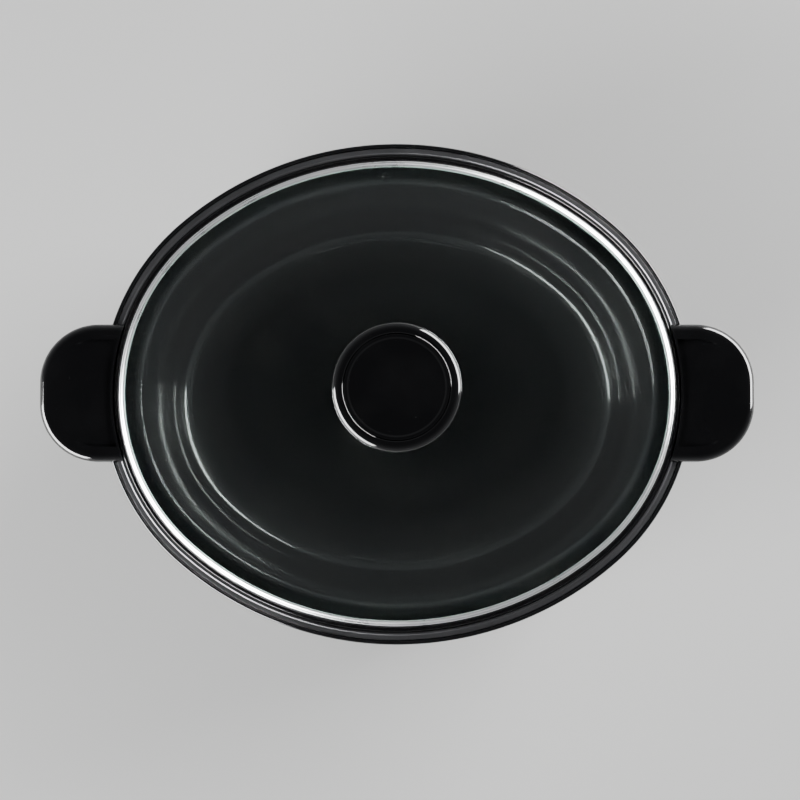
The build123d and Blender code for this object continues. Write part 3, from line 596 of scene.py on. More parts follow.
class Workshop:
    """Makes each finish once, dresses pieces and frame nodes in it and reports them."""

    def __init__(self, nodes: dict[str, bpy.types.Object]) -> None:
        """Keeps the frame's nodes by name."""
        self.nodes = nodes
        self.made: dict[Finish, bpy.types.Material] = {}

    def material(self, finish: Finish) -> bpy.types.Material:
        """The finish's material, built at its first use."""
        if finish not in self.made:
            self.made[finish] = finish.make()
        return self.made[finish]

    def dress(
        self, piece: bpy.types.Object, finish: Finish, body: Body, slot: str, stands_for: Sequence[str] = ()
    ) -> None:
        """Finishes a new piece and ties it to the frame.

        Args:
            piece: The object.
            finish: What it is made of.
            body: The body that it rides on.
            slot: The name of the piece's material slot; not used.
            stands_for: The frame's nodes that it replaces.
        """
        piece.data.materials.clear()
        piece.data.materials.append(self.material(finish))
        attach(piece, body.value)
        if stands_for:
            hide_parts(*stands_for)
        LOG.info("%s on %s in %s", piece.name, body.value, finish.name)

    def repaint(self, finish: Finish, *names: str) -> None:
        """Gives nodes that keep their own shape a finish."""
        for name in names:
            for slot in self.nodes[name].material_slots:
                slot.material = self.material(finish)
            LOG.info("%s kept, in %s", name, finish.name)


# ---------------------------------------------------------------- the cooker's sub-assemblies


@dataclass
class Lid:
    """Glass dome with its steel rim, and the knob that clamps through it."""

    shop: Workshop
    oval: Oval
    knob_waist: float = 14.2 * MM
    sheet: float = 3.6 * MM
    crown_inset: float = 110 * MM
    vent: tuple[float, float] = (-6.0 * MM, 115.6 * MM)
    vent_radius: float = 1.4 * MM
    screw_hole: float = 3.2 * MM
    bit_overrun: float = 5 * MM
    edge_round: float = 4.2 * MM
    recess_depth: float = 1.6 * MM

    def build(self) -> None:
        """Makes and dresses the lid's pieces."""
        self.glass()
        self.rim()
        self.knob()
        self.cap()
        self.shop.repaint(SILICONE, "lid_gasket")
        self.shop.repaint(ZINC, "lid_washer", "lid_screw")
        self.shop.repaint(BRASS, "lid_knob_insert")

    def glass(self) -> None:
        """Pressed dome: flat edge, sloping flank and shallow crown, as one sheet of even thickness.

        The under side is a rounded line. The upper side is the same line moved out along its normals.
        """
        low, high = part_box("lid_glass")
        edge, crown = self.oval.long - high.x, high.z - low.z - self.sheet
        under = rounded([
            (edge, 0, 0), (19.5 * MM, 0, 10 * MM), (58 * MM, 0.654 * crown, 150 * MM),
            (96 * MM, crown, 110 * MM), (self.crown_inset, crown, 0),
        ], steps=14)
        under = subdivided(under, 3 * MM)
        slope = np.gradient(under, axis=0)
        normal = np.stack([-slope[:, 1], slope[:, 0]], axis=-1)
        upper = under + normal / np.linalg.norm(normal, axis=1)[:, None] * self.sheet
        upper[[0, -1], 0] = under[[0, -1], 0]
        middle = np.array([[self.oval.short, crown]])
        seam, sheet = 0.35 * MM, self.sheet
        rim_edge = np.array([(edge + seam, 0), (edge, seam), (edge, sheet - seam), (edge + seam, sheet)])
        section = np.concatenate([middle, under[:0:-1], rim_edge, upper[1:], middle + np.array([[0, sheet]])])
        section[:, 1] += low.z
        piece = skin("lid_dome_glass", [self.oval.swept(section, 384)], crease=50)
        self.drill(piece)
        self.shop.dress(piece, GLASS, Body.LID, "clear_glass", ["lid_glass"])

    def drill(self, piece: bpy.types.Object) -> None:
        """Bores the steam vent through the glass and the screw hole through its crown, upright and round."""
        low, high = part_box("lid_glass")
        bottom, top = low.z - self.bit_overrun, high.z + self.bit_overrun
        for x, y, radius in ((*self.vent, self.vent_radius), (0.0, 0.0, self.screw_hole)):
            bit = turned(np.array([(0, bottom), (radius, bottom), (radius, top), (0, top)]), 48)
            cutter = skin("bit", [bit + np.array([x, y, 0])])
            cut = piece.modifiers.new("bore", "BOOLEAN")
            cut.operation, cut.solver, cut.object = "DIFFERENCE", "EXACT", cutter
            piece.modifiers.move(len(piece.modifiers) - 1, 0)
            flats = piece.modifiers["flats"]
            flats.show_viewport = False
            bored = evaluated(piece)
            flats.show_viewport = True
            piece.modifiers.remove(cut)
            bpy.data.objects.remove(cutter)
            old, piece.data = piece.data, bored
            bpy.data.meshes.remove(old)

    def rim(self) -> None:
        """Steel channel: a rolled C section carried round the oval."""
        low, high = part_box("lid_rim")
        glass_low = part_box("lid_glass")[0].z
        outer = self.oval.long - high.x
        lap, wall = 2.9 * MM, 0.65 * MM
        gap_low, gap_high = glass_low - 0.05 * MM, glass_low + 3.65 * MM
        section = rounded([
            (outer, low.z, 0.9 * MM), (outer, high.z - 1.5 * MM, 1.0 * MM),
            (outer + 2.1 * MM, high.z, 1.0 * MM), (outer + lap, high.z - 0.1 * MM, 0.4 * MM),
            (outer + lap, gap_high, 0.15 * MM), (outer + wall, gap_high, 0), (outer + wall, gap_low, 0),
            (outer + lap, gap_low, 0.15 * MM), (outer + lap, low.z, 0.3 * MM),
        ], closed=True)
        piece = skin("lid_rim_channel", [self.oval.swept(section, 320)], closed=True)
        self.shop.dress(piece, POLISHED, Body.LID, "polished_steel", ["lid_rim"])

    def knob(self) -> None:
        """Round grip: a flared foot, a waist and a wide disc with a soft edge and a recess on top."""
        low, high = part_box("lid_knob")
        radius = high.x
        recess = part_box("lid_knob_cap")[1].x + 0.35 * MM
        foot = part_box("lid_knob_insert")[1].x
        base, top = low.z, high.z
        socket = base + 15.2 * MM
        section = rounded([
            (0, socket, 0), (foot, socket, 0), (foot, base, 0), (16 * MM, base, 0.6 * MM),
            (self.knob_waist, base + 4 * MM, 6 * MM), (self.knob_waist, base + 12 * MM, 6 * MM),
            (21 * MM, base + 16.5 * MM, 9 * MM), (radius, base + 19.5 * MM, 3.2 * MM),
            (radius, top, self.edge_round), (recess, top, 0.5 * MM),
            (recess, top - self.recess_depth, 0.2 * MM), (0, top - self.recess_depth, 0),
        ], steps=12)
        piece = skin("lid_knob_grip", [turned(section, 160)])
        self.shop.dress(piece, GLOSS, Body.LID, "gloss_black_plastic", ["lid_knob"])

    def cap(self) -> None:
        """Disc in the knob's top, slightly dished, with a raised bead round its edge."""
        low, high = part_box("lid_knob_cap")
        radius = high.x
        section = rounded([
            (0, low.z, 0), (radius, low.z, 0), (radius, high.z, 0.6 * MM),
            (radius - 1.6 * MM, high.z, 0.5 * MM), (radius - 2.6 * MM, high.z - 0.45 * MM, 0.8 * MM),
            (radius * 0.5, high.z - 0.7 * MM, 40 * MM), (0, high.z - 0.8 * MM, 0),
        ], steps=8)
        piece = skin("lid_knob_disc", [turned(section, 128)])
        self.shop.dress(piece, GLOSS, Body.LID, "gloss_black_plastic", ["lid_knob_cap"])


@dataclass
class Crock:
    """Glazed stoneware pot, open at the top, with a flange and a ledge for the lid."""

    shop: Workshop
    oval: Oval
    wall: float = 5.7 * MM
    draft: float = 9.0 * MM
    floor: float = 8.0 * MM
    mouth: float = 22.6 * MM

    def build(self) -> None:
        """Makes and dresses the pot as one closed shell from its foot ring to its inner floor."""
        low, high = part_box("crock")
        lip = self.oval.long - high.x
        lip_inner = lip + 2.15 * MM
        ledge = high.z - 2.2 * MM
        shoulder = ledge - 5.7 * MM
        foot, middle = low.z, self.oval.short
        bottom, inner_floor = foot + 1.8 * MM, foot + 1.8 * MM + self.floor
        outer_top = self.mouth - self.wall
        section = rounded([
            (middle, bottom, 0), (self.mouth + 30.2 * MM, bottom, 0.6 * MM),
            (self.mouth + 29.8 * MM, foot, 0.9 * MM), (self.mouth + 24.2 * MM, foot, 0.9 * MM),
            (self.mouth + 23.8 * MM, bottom, 0.6 * MM),
            (outer_top + self.draft, bottom, 16 * MM), (outer_top, shoulder, 2.5 * MM),
            (lip, shoulder, 1.4 * MM), (lip, high.z, 0.4 * MM), (lip_inner, high.z, 0.4 * MM),
            (lip_inner + 0.3 * MM, ledge, 0.8 * MM), (self.mouth - 0.2 * MM, ledge, 2.2 * MM),
            (self.mouth + self.draft, inner_floor, 18 * MM), (middle, inner_floor, 0),
        ], steps=10)
        fine = subdivided(section, 6 * MM)
        piece = skin("crock_pot", [self.oval.swept(fine, 288)])
        self.shop.dress(piece, BLACK_GLAZE, Body.CROCK, "black_glaze", ["crock"])


@dataclass
class Shell:
    """Outer body: painted wall with its rolled bead, the ring round the crock and the heating well."""

    shop: Workshop
    oval: Oval
    wall: float = 0.8 * MM
    bead: float = 1.1 * MM
    foot_inset: float = 14.5 * MM
    turn_in: float = 26 * MM
    top_inset: float = 1.5 * MM

    def build(self) -> None:
        """Makes and dresses the body's pieces."""
        self.housing()
        self.bezel()
        self.well()

    def wall_inset(self, height: np.ndarray | float) -> np.ndarray | float:
        """Inset of the outer wall at a height: a straight line from its foot to its top."""
        low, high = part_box(WALLS[1])
        top = high.z - self.bead
        share = (top - height) / (top - low.z)
        return self.top_inset + share * (self.foot_inset - self.top_inset)

    def housing(self) -> None:
        """Steel wall from its turned-in foot up to a bead rolled over at the rim."""
        low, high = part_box(WALLS[1])
        top = high.z - self.bead
        round_bead = self.bead * 0.98
        section = rounded([
            (self.turn_in, low.z, 0), (self.foot_inset, low.z, 2.5 * MM),
            (self.top_inset, top - 1.6 * MM, 1.2 * MM), (0, top - 0.6 * MM, 0.9 * MM),
            (0, high.z, round_bead), (2 * self.bead, high.z, round_bead),
            (self.top_inset + self.wall, top - self.bead, 0.3 * MM),
            (self.foot_inset + self.wall, low.z + self.wall, 1.7 * MM), (self.turn_in, low.z + self.wall, 0),
        ], closed=True)
        piece = skin("housing_shell", [self.oval.swept(section, 320)], closed=True)
        self.shop.dress(piece, ENAMEL, Body.BASE, "body_paint", WALLS)

    def bezel(self) -> None:
        """Ring between the crock and the bead, its top falling slightly outwards."""
        low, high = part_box("rim_bezel")
        outer = self.oval.long - high.x
        inner, skirt = outer + 4.15 * MM, outer + 3.05 * MM
        section = rounded([
            (skirt, low.z, 0), (skirt, high.z - 1.5 * MM, 0), (outer, high.z - 1.5 * MM, 0.2 * MM),
            (outer, high.z - 0.55 * MM, 0.4 * MM), (inner - 1.7 * MM, high.z - 0.35 * MM, 0.5 * MM),
            (inner - 1.3 * MM, high.z, 0.5 * MM), (inner, high.z, 0.75 * MM), (inner, low.z, 0),
        ], closed=True)
        piece = skin("rim_ring", [self.oval.swept(section, 320)], closed=True)
        self.shop.dress(piece, SATIN, Body.BASE, "satin_rim", ["rim_bezel"])

    def well(self) -> None:
        """The heating well keeps its solid's shape."""
        self.shop.repaint(COATED, "liner")


@dataclass
class Handles:
    """The two D-shaped ears that hook over the rim, hollow underneath."""

    shop: Workshop
    oval: Oval
    shell: Shell
    corner: float = 31 * MM
    edge: float = 4.0 * MM
    skin_thickness: float = 4.0 * MM
    dish_half: float = 28.3 * MM
    dish_depth: float = 2.0 * MM
    hook_inset: float = 6.4 * MM
    bead_inset: float = -0.3 * MM
    rim_gap: float = 0.12 * MM
    foot_round: float = 1.2 * MM
    roof_round: float = 1.5 * MM

    def build(self) -> None:
        """Makes and dresses both ears; the left one is the right one with its x turned round."""
        grid = self.ear()
        for side, name in ((1, "right"), (-1, "left")):
            piece = skin(f"handle_{name}_ear", [grid * np.array([side, 1, 1])], crease=38)
            self.shop.dress(piece, GLOSS, Body.BASE, "gloss_black_plastic", [f"handle_{name}"])

    def plan(self, shrink: float, root: float) -> np.ndarray:
        """Closed outline of the ear drawn in by a distance, with its root on the oval at an inset.

        It runs from the root's front end out along the straight side, round a corner arc to the tip,
        back round the other corner and side, and home along the oval's end arc.

        Args:
            shrink: Distance inside the ear's outer edge.
            root: The oval's inset where the ear ends.

        Returns:
            The outline as an (N, 2) array, with the same N for every argument.
        """
        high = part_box("handle_right")[1]
        half, tip = high.y - shrink, high.x - shrink
        radius = max(self.corner - shrink, 0.5 * MM)
        start = self.oval.end_line(np.array(half), root)
        side_x = np.linspace(start, tip - radius, 14)
        side = np.stack([side_x, np.full_like(side_x, -half)], axis=-1)
        angle = np.linspace(-0.5 * math.pi, 0, 33)
        bend_x, bend_y = tip - radius + radius * np.cos(angle), radius - half + radius * np.sin(angle)
        front = np.concatenate([side[:-1], np.stack([bend_x, bend_y], axis=-1)])
        back = front[::-1] * np.array([1, -1])
        home_y = np.linspace(half, -half, 30)[1:-1]
        home = np.stack([self.oval.end_line(home_y, root), home_y], axis=-1)
        return np.concatenate([front, back, home])

    def ring(self, shrink: float, root: float, height: float) -> np.ndarray:
        """The plan's outline at one height."""
        flat = self.plan(shrink, root)
        return np.column_stack([flat, np.full(len(flat), height)])

    def closing(self, ring: np.ndarray, shares: Sequence[float]) -> list[np.ndarray]:
        """Rings that shrink onto a ring's mean point, in proportion."""
        middle = ring.mean(axis=0)
        return [middle + (ring - middle) * share for share in shares]

    def dished(self, ring: np.ndarray, top: float) -> np.ndarray:
        """Sinks a ring to the dish's floor, which rises from its full depth at the rim to nothing."""
        start, end = self.oval.long - 5 * MM, self.oval.long + 17 * MM
        share = np.clip((end - ring[:, 0]) / (end - start), 0, 1)
        sunk = ring.copy()
        sunk[:, 2] = top - self.dish_depth * share**1.4
        return sunk

    def against_wall(self, height: float) -> float:
        """Inset of the ear's root at a height, a little inside the outer wall."""
        return float(self.shell.wall_inset(height)) - 0.15 * MM

    def ear(self) -> Grid:
        """The right ear as rings, from the middle of its dish out over the edge and up into its hollow.

        Quarter rounds join its faces. Along one of radius r the shrink and the drop are r (1 - sin a)
        and r (1 - cos a). Over the rim the root lies on the hook, and below it outside the bead.
        """
        low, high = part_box("handle_right")
        top, foot, hook, outside = high.z, low.z, self.hook_inset, self.bead_inset
        rim_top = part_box("rim_bezel")[1].z
        over_rim = rim_top + self.rim_gap
        lip, border = hook - 1.6 * MM, high.y - self.dish_half
        floor = self.dished(self.ring(border, lip, top), top)
        rows = [self.dished(row, top) for row in self.closing(floor, (0, 0.25, 0.5, 0.75, 0.9))]
        rows += [floor, self.ring(border - 0.25 * MM, lip + 0.25 * MM, top)]
        rows += [self.ring(border - 1.2 * MM, lip + 0.7 * MM, top)]

        quarter = np.linspace(0, 0.5 * math.pi, 9)
        edge = [(self.edge * (1 - math.sin(a)), top - self.edge * (1 - math.cos(a))) for a in quarter]
        above = [step for step in edge if step[1] > rim_top + 0.3 * MM]
        beside = edge[len(above):]
        rows += [self.ring(shrink, hook, z) for shrink, z in above]
        rows += [self.ring(beside[0][0], root, over_rim) for root in (hook, outside)]
        rows += [self.ring(shrink, outside, z) for shrink, z in beside if z < over_rim]

        bead_foot, turn = rim_top - 3.4 * MM, self.foot_round
        rows += [self.ring(0, outside, bead_foot)]
        for z in np.linspace(bead_foot - 0.2 * MM, foot + turn, 4):
            rows.append(self.ring(0, self.against_wall(z), z))
        root = self.against_wall(foot)
        quarter = np.linspace(0, 0.5 * math.pi, 5)
        for a in quarter[1:]:
            rows.append(self.ring(turn * (1 - math.cos(a)), root, foot + turn * (1 - math.sin(a))))

        inside, pocket, roof = self.skin_thickness, root - self.skin_thickness, top - 4.6 * MM
        for a in quarter:
            step = turn * (1 - math.sin(a))
            rows.append(self.ring(inside - step, pocket + step, foot + turn * (1 - math.cos(a))))
        fillet = self.roof_round
        rows += [self.ring(inside, pocket, roof - fillet)]
        ceiling = self.ring(inside + fillet, pocket - fillet, roof)
        return np.stack(rows + [ceiling] + self.closing(ceiling, (0.6, 0)))


@dataclass
class Controls:
    """The panel on the front with its dial, its scale and the power lamp."""

    shop: Workshop
    oval: Oval
    shell: Shell
    corner: float = 15 * MM
    edge: float = 2.2 * MM
    bar_half_width: float = 4.3 * MM
    off_angle: float = 67.5
    detent: float = 45.0
    figure_radius: float = 21.5 * MM
    dot_radius: float = 18.1 * MM
    ink: float = 0.03 * MM
    figure_size: float = 6.2 * MM

    def build(self) -> None:
        """Makes and dresses the front's pieces."""
        self.panel()
        self.knob()
        self.trim()
        self.lens()
        self.scale()
        self.shop.repaint(ZINC, "switch_shaft", "fascia_screws")

    def axis_height(self) -> float:
        """Height of the dial's axis."""
        low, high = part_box("knob_ring")
        return 0.5 * (low.z + high.z)

    def outline(self, half_width: float, half_height: float, radius: float) -> np.ndarray:
        """Rounded rectangle about the origin, anticlockwise, with arcs at its corners."""
        turns = [(1, -1), (1, 1), (-1, 1), (-1, -1)]
        line = rounded([(x * half_width, z * half_height, radius) for x, z in turns], closed=True, steps=12)
        spread = []
        for start, end in zip(line, np.roll(line, -1, axis=0)):
            parts = 8 if np.linalg.norm(end - start) > 4 * MM else 1
            spread.append(start + (end - start) * np.linspace(0, 1, parts + 1)[:-1, None])
        return np.concatenate(spread)

    def panel(self) -> None:
        """Panel standing on the curved wall: a flat face, a rounded edge and a side that ends on the wall."""
        low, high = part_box("control_fascia")
        half_width, half_height, middle = high.x, 0.5 * (high.z - low.z), 0.5 * (high.z + low.z)
        front, edge = low.y, self.edge

        def ring(shrink: float, depth: float) -> np.ndarray:
            """The outline drawn in, at a depth behind the front."""
            line = self.outline(half_width - shrink, half_height - shrink, self.corner - shrink)
            return np.column_stack([line[:, 0], np.full(len(line), front + depth), line[:, 1] + middle])

        def on_wall(line: np.ndarray) -> np.ndarray:
            """The line moved along Y onto the wall's outside."""
            x, z = line[:, 0], line[:, 2]
            return np.column_stack([x, -self.oval.side_line(x, self.shell.wall_inset(z)) - 0.02 * MM, z])

        face = ring(edge, 0)
        centre = face.mean(axis=0)
        rows = [centre + (face - centre) * share for share in (0, 0.35, 0.7, 0.97)]
        for a in np.linspace(0, 0.5 * math.pi, 9):
            rows.append(ring(edge * (1 - math.sin(a)), edge * (1 - math.cos(a))))
        back = on_wall(ring(0, 0))
        rows.append(back)
        for share in (0.7, 0.35, 0.0):
            lift = np.array([0, 0, 1]) * (1 - share) * (middle - back[:, 2:3])
            rows.append(on_wall(back * np.array([share, 1, 1]) + lift))
        piece = skin("control_panel", [np.stack(rows)], crease=38)
        self.shop.dress(piece, GLOSS, Body.BASE, "gloss_black_plastic", ["control_fascia"])

    def knob(self) -> None:
        """Dial: a dished skirt with a waisted finger bar standing across it, turned to off."""
        low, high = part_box("control_knob")
        radius, back, height = high.x, high.y, self.axis_height()
        skirt = turned(rounded([
            (0, 0, 0), (radius, 0, 0.2 * MM), (radius, 2.4 * MM, 0.9 * MM),
            (radius - 3 * MM, 3.3 * MM, 4 * MM), (0, 3.5 * MM, 0),
        ]))
        for name, grid in (("dial_skirt", skirt), ("dial_bar", self.finger_bar(radius, back - low.y))):
            piece = skin(name, [facing_front(grid, 0, back, height)], crease=40)
            self.shop.dress(piece, GLOSS, Body.DIAL, "gloss_black_plastic", ["control_knob"])
        self.shop.repaint(WHITE_INK, "knob_pointer")

    def finger_bar(self, radius: float, depth: float) -> Grid:
        """The dial's bar as rings, from its foot on the skirt up over its rounded top.

        A ring is (half width cos^0.8 a, half length sin^0.55 a), waisted by 16% at its middle. Its half
        width flares at the skirt by 1.6 mm e^(-rise / 1.1 mm), and the top's rounding draws both in.

        Args:
            radius: The skirt's radius.
            depth: Height of the bar's top over the skirt's back.

        Returns:
            The rings, turned to the off angle.
        """
        top_round, straight, half_length = 1.3 * MM, 8, radius - 1.4 * MM
        quarter = np.linspace(0, 0.5 * math.pi, 7)[1:]
        sides = np.linspace(2.6 * MM, depth - top_round, straight)
        heights = np.concatenate([sides, depth - top_round * (1 - np.sin(quarter))])
        inset = np.concatenate([np.zeros(straight), top_round * (1 - np.cos(quarter))])[:, None]
        flare = 1.6 * MM * np.exp(-(heights - heights[0]) / (1.1 * MM))
        angle = np.linspace(0, 2 * math.pi, 96, endpoint=False)
        along = np.sign(np.sin(angle)) * np.abs(np.sin(angle)) ** 0.55
        across = np.sign(np.cos(angle)) * np.abs(np.cos(angle)) ** 0.8
        waist = 1 - 0.16 * (1 - along**2)
        x = ((self.bar_half_width + flare)[:, None] - inset) * across * waist
        y = (half_length - 0.06 * heights)[:, None] * along - inset * np.sign(along)
        bar = np.stack([x, y, np.broadcast_to(heights[:, None], x.shape)], axis=-1)
        foot, crown = bar[:1] * np.array([0, 0, 1]), bar[-1:] * np.array([0, 0, 1])
        bar = np.concatenate([foot, bar, bar[-1:] * np.array([0.5, 0.5, 1]), crown])
        turn = math.radians(self.off_angle)
        x, y, z = np.moveaxis(bar, -1, 0)
        cosine, sine = math.cos(turn), math.sin(turn)
        return np.stack([x * cosine - y * sine, x * sine + y * cosine, z], axis=-1)

    def trim(self) -> None:
        """Chromed ring round the dial: a half-round section turned about the dial's axis."""
        low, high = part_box("knob_ring")
        outer, depth = high.x, high.y - low.y
        inner = outer - 1.4 * MM
        section = rounded([
            (inner, 0, 0), (outer, 0, 0), (outer, depth, 0.65 * MM), (inner, depth, 0.65 * MM),
        ], closed=True)
        piece = skin("dial_ring", [facing_front(turned(section), 0, high.y, self.axis_height())], closed=True)
        self.shop.dress(piece, CHROME, Body.BASE, "dial_chrome", ["knob_ring"])

    def lens(self) -> None:
        """Lamp lens: a dome whose radius swells in twelve flutes round its edge."""
        low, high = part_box("lamp_lens")
        radius, depth = 0.5 * (high.x - low.x), high.y - low.y
        section = rounded([(0, 0, 0), (radius, 0, 0), (radius, depth - 0.4 * MM, 0.8 * MM), (0, depth, 0)])
        columns, flutes = 96, 12
        grid = turned(subdivided(section, 0.6 * MM), columns)
        wave = np.cos(flutes * np.linspace(0, 2 * math.pi, columns, endpoint=False))
        grid[..., :2] *= (1 - 0.035 * (1 + wave))[None, :, None]
        piece = skin("lamp_dome", [facing_front(grid, 0.5 * (low.x + high.x), high.y, self.axis_height())])
        self.shop.dress(piece, AMBER, Body.BASE, "lamp_amber", ["lamp_lens"])

    def scale(self) -> None:
        """Prints the scale on the panel: 0 and 3 at its ends, and a dot for each setting between them.

        The mark of a setting stands at 90 degrees + the off angle - the setting times the detent, from +X.
        """
        front, ink, dot_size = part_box("control_fascia")[0].y - 0.04 * MM, self.ink, 0.6 * MM
        dot = turned(np.array([(0, -ink), (dot_size, -ink), (dot_size, 0), (0, 0)]), 24)
        for setting in range(4):
            angle = math.radians(90 + self.off_angle - self.detent * setting)
            dotted = setting in (1, 2)
            away = self.dot_radius if dotted else self.figure_radius
            x, z = away * math.cos(angle), away * math.sin(angle) + self.axis_height()
            if dotted:
                piece = skin(f"scale_dot_{setting}", [facing_front(dot, x, front, z)])
            else:
                piece = placed(f"scale_figure_{setting}", self.figure(str(setting), x, front, z), 30)
            self.shop.dress(piece, WHITE_INK, Body.BASE, "pointer_white")

    def figure(self, text: str, x: float, y: float, z: float) -> bpy.types.Mesh:
        """One printed figure as a thin mesh that faces -Y: its (a, b, c) goes to (x + a, y - c, z + b)."""
        curve = bpy.data.curves.new(text, "FONT")
        curve.body, curve.size, curve.extrude = text, self.figure_size, self.ink
        curve.align_x, curve.align_y = "CENTER", "CENTER"
        maker = bpy.data.objects.new(text, curve)
        bpy.context.scene.collection.objects.link(maker)
        mesh = evaluated(maker)
        bpy.data.objects.remove(maker)
        points = np.empty(len(mesh.vertices) * 3, np.float32)
        mesh.vertices.foreach_get("co", points)
        laid = facing_front(points.reshape(-1, 3), x, y, z)
        mesh.vertices.foreach_set("co", laid.astype(np.float32).ravel())
        mesh.update()
        return mesh


@dataclass
class Underside:
    """Plastic pan, feet and supply bush."""

    shop: Workshop

    def build(self) -> None:
        """Makes and dresses the pieces under and behind the body."""
        self.shop.repaint(PAN_PLASTIC, "base_pan")
        self.shop.repaint(ZINC, "pan_screws", "centre_stud", "stud_nut")
        self.gland()
        for place in ("front_left", "front_right", "back_left", "back_right"):
            self.foot(place)

    def gland(self) -> None:
        """Supply bush: a collar with a rolled edge and two moulded grooves, bored through."""
        low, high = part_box("supply_gland")
        radius, length = high.x, high.y - low.y
        bore, neck, flange, groove = 3.6 * MM, 7.0 * MM, 8.6 * MM, radius - 1.6 * MM
        section = rounded([
            (bore, 0, 0.3 * MM), (flange, 0, 0.4 * MM), (flange, 2.5 * MM, 0.3 * MM),
            (neck, 2.5 * MM, 0.3 * MM), (neck, 6.2 * MM, 0.2 * MM), (radius, 7.6 * MM, 0.5 * MM),
            (radius, length - 3.4 * MM, 1.0 * MM), (groove, length - 2.4 * MM, 0.6 * MM),
            (groove, length - 1.8 * MM, 0.4 * MM), (radius - 2.2 * MM, length, 1.2 * MM),
            (bore, length, 0.8 * MM),
        ], closed=True)
        middle = 0.5 * (low.z + high.z)
        piece = skin("supply_bush", [facing_back(turned(section), 0, low.y, middle)], closed=True)
        self.shop.dress(piece, RUBBER, Body.BASE, "foot_rubber", ["supply_gland"])

    def foot(self, place: str) -> None:
        """Rubber foot: a pad with a hollow sole and two shallow rings, its stem and its barb."""
        low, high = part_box(f"foot_{place}")
        radius, x, y = 0.5 * (high.x - low.x), 0.5 * (low.x + high.x), 0.5 * (low.y + high.y)
        pad, stem, barb = 6.0 * MM, 3.1 * MM, 8.5 * MM
        section = rounded([
            (0, 1.0 * MM, 0), (radius - 4 * MM, 1.0 * MM, 0.4 * MM), (radius - 3.3 * MM, 0, 0.5 * MM),
            (radius - 2.2 * MM, 0, 0.2 * MM), (radius - 1.9 * MM, 0.35 * MM, 0.15 * MM),
            (radius - 1.6 * MM, 0, 0.2 * MM), (radius, 0, 0.9 * MM), (radius - 1.2 * MM, pad, 0.5 * MM),
            (stem, pad, 0.2 * MM), (stem, barb, 0.1 * MM), (3.9 * MM, barb, 0.2 * MM),
            (2.3 * MM, high.z, 0.4 * MM), (0, high.z, 0),
        ])
        piece = skin(f"foot_pad_{place}", [turned(section, 72) + np.array([x, y, 0])])
        self.shop.dress(piece, RUBBER, Body.BASE, "foot_rubber", [f"foot_{place}"])


@dataclass
class Innards:
    """Heater, wiring and switchgear inside the body, which keep their solids' shapes."""

    shop: Workshop
    finishes: dict[Finish, tuple[str, ...]] = field(default_factory=lambda: {
        MICA: ("heater_band",),
        FOIL: ("heat_shield", "thermal_fuse"),
        COATED: ("switch_bracket", "fuse_clip", "earth_tab"),
        ZINC: ("band_clamp", "switch_nut", "handle_screws_left", "handle_screws_right"),
        NYLON: ("rotary_switch", "lamp_body", "terminal_block"),
        BRASS: ("terminal_screws",),
        BROWN_WIRE: ("wire_live", "wire_heat_low", "wire_heat_high"),
        BLUE_WIRE: ("wire_neutral", "wire_fuse_link"),
        GREEN_WIRE: ("wire_earth",),
    })

    def build(self) -> None:
        """Dresses each node in its finish."""
        for finish, names in self.finishes.items():
            self.shop.repaint(finish, *names)


# ---------------------------------------------------------------- the studio


@dataclass(frozen=True)
class Softbox:
    """One rectangular lamp that faces the cooker."""

    name: str
    place: Triple
    size: tuple[float, float]
    power: float
    mirrored: bool = False

    def light(self, target: Vector) -> None:
        """Hangs the lamp, turned to the target. A mirrored one only shows in gloss, the others only light."""
        lamp = bpy.data.lights.new(self.name, "AREA")
        lamp.shape = "RECTANGLE"
        lamp.size, lamp.size_y = self.size
        lamp.energy = self.power
        hung = bpy.data.objects.new(self.name, lamp)
        hung.location = self.place
        hung.rotation_euler = (target - Vector(self.place)).to_track_quat("-Z", "Y").to_euler()
        hung.visible_diffuse = not self.mirrored
        hung.visible_glossy = hung.visible_transmission = self.mirrored
        bpy.context.scene.collection.objects.link(hung)


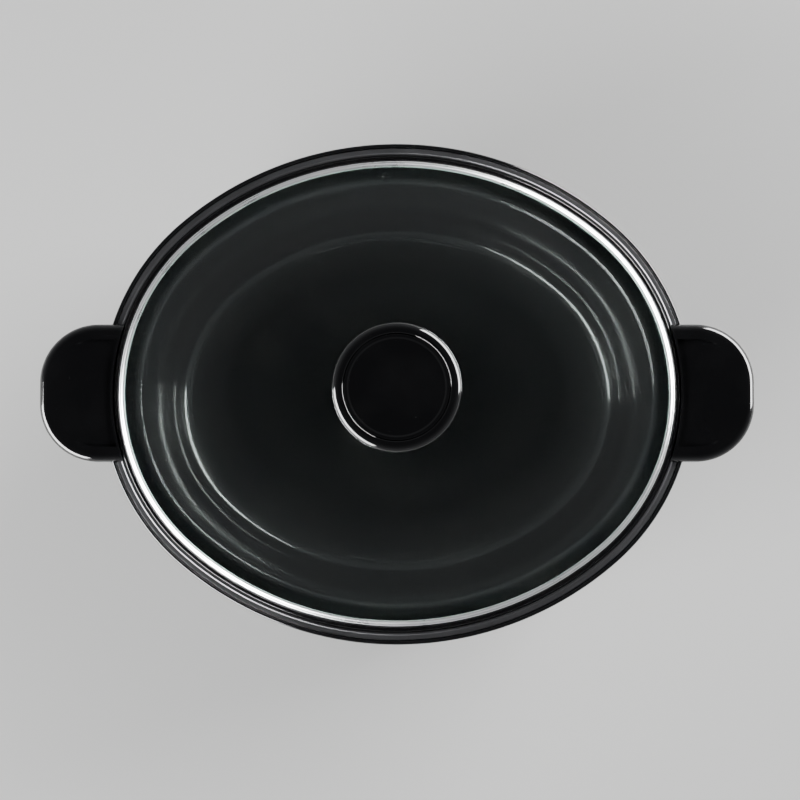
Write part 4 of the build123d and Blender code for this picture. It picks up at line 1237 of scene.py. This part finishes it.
@dataclass(frozen=True)
class Studio:
    """Pale floor, four soft lamps, a surround that darkens overhead and a camera almost straight above.

    The dark cone's two angles are measured from the zenith: overhead strength inside, horizon outside.
    """

    softboxes: tuple[Softbox, ...] = (
        Softbox("front_left_box", (-1.25, -0.90, 0.90), (1.2, 0.7), 36),
        Softbox("back_right_box", (1.25, 0.90, 0.90), (1.2, 0.7), 36),
        Softbox("front_left_strip", (-1.10, -0.72, 0.50), (1.8, 0.66), 200, mirrored=True),
        Softbox("back_right_strip", (1.10, 0.72, 0.50), (1.8, 0.66), 200, mirrored=True),
    )
    horizon: float = 0.60
    overhead: float = 0.015
    dark_cone: tuple[float, float] = (8.5, 76.0)
    falloff: float = 0.6
    sky: Triple = (0.95, 0.97, 1.0)
    floor_reach: float = 9.0
    distance: float = 1.25
    elevation: float = 87.2
    lens: float = 106.0
    aim: tuple[float, float] = (1.6 * MM, -3.7 * MM)

    def build(self) -> None:
        """Sets out the floor, the lamps, the surround and the camera."""
        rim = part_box("rim_bezel")[1].z
        self.floor()
        for softbox in self.softboxes:
            softbox.light(Vector((0, 0, rim)))
        self.surround()
        self.camera(rim)

    def surround(self) -> None:
        """Sky whose strength falls from the horizon's to the overhead value across the dark cone."""
        world = bpy.data.worlds.new("surround")
        bpy.context.scene.world = world
        net = Net(world, "ShaderNodeOutputWorld")
        parts = net.node("ShaderNodeSeparateXYZ", None, {0: net.coordinates.outputs["Generated"]})
        inner, outer = (math.cos(math.radians(angle)) for angle in self.dark_cone)
        dark = Value(net, parts.outputs["Z"]).above(outer, inner) ** self.falloff
        strength = self.horizon - dark * (self.horizon - self.overhead)
        net.surface(net.node("ShaderNodeBackground", None, {"Color": (*self.sky, 1), "Strength": strength}))

    def floor(self) -> None:
        """A wide pale sheet, level and very slightly uneven in tone."""
        steps = np.linspace(-self.floor_reach, self.floor_reach, 25)
        x, y = np.meshgrid(steps, steps)
        points = np.stack([x, y, np.zeros_like(x)], axis=-1).reshape(-1, 3)
        index = np.arange(len(points)).reshape(x.shape)
        quads = np.stack([index[:-1, :-1], index[:-1, 1:], index[1:, 1:], index[1:, :-1]], axis=-1)
        mesh = bpy.data.meshes.new("floor")
        mesh.from_pydata(points.tolist(), [], quads.reshape(-1, 4).tolist())
        net = Net.named("floor_paper")
        tone = net.noise(0.4, 3)
        mesh.materials.append(net.finish({
            "Base Color": net.tint(tone, (0.74, 0.74, 0.73), (0.79, 0.79, 0.78)),
            "Roughness": 0.65 + tone * 0.1,
            "Normal": net.relief(net.noise(1.2 * MM, 2), 0.02 * MM),
        }))
        sheet = bpy.data.objects.new("floor", mesh)
        bpy.context.scene.collection.objects.link(sheet)

    def camera(self, rim: float) -> None:
        """Stands the camera over the rim's plane, tipped slightly to the front."""
        tilt = math.radians(self.elevation)
        target = Vector((*self.aim, rim))
        eye = Vector((self.aim[0], 0, rim)) + Vector((0, -math.cos(tilt), math.sin(tilt))) * self.distance
        data = bpy.data.cameras.new("camera")
        data.lens = self.lens
        view = bpy.data.objects.new("camera", data)
        view.location = eye
        view.rotation_euler = (target - eye).to_track_quat("-Z", "Y").to_euler()
        bpy.context.scene.collection.objects.link(view)
        bpy.context.scene.camera = view


def corners(box: Sequence[Sequence[float]]) -> list[list[float]]:
    """A box's two corners as plain lists."""
    return [list(map(float, corner)) for corner in box]


def main() -> None:
    """Loads the frame, sets up the studio and builds the cooker's sub-assemblies in order."""
    logging.basicConfig(level=logging.INFO, format="%(name)s: %(message)s")
    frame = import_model()
    Studio().build()
    shop = Workshop(frame["nodes"])
    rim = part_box(WALLS[1])[1]
    oval = Oval(long=rim.x, short=rim.y)
    shell = Shell(shop, oval)
    assemblies = (
        shell, Handles(shop, oval, shell), Crock(shop, oval), Lid(shop, oval), Controls(shop, oval, shell),
        Underside(shop), Innards(shop),
    )
    for assembly in assemblies:
        LOG.info("building %s", type(assembly).__name__)
        assembly.build()


if __name__ == "__main__":
    main()
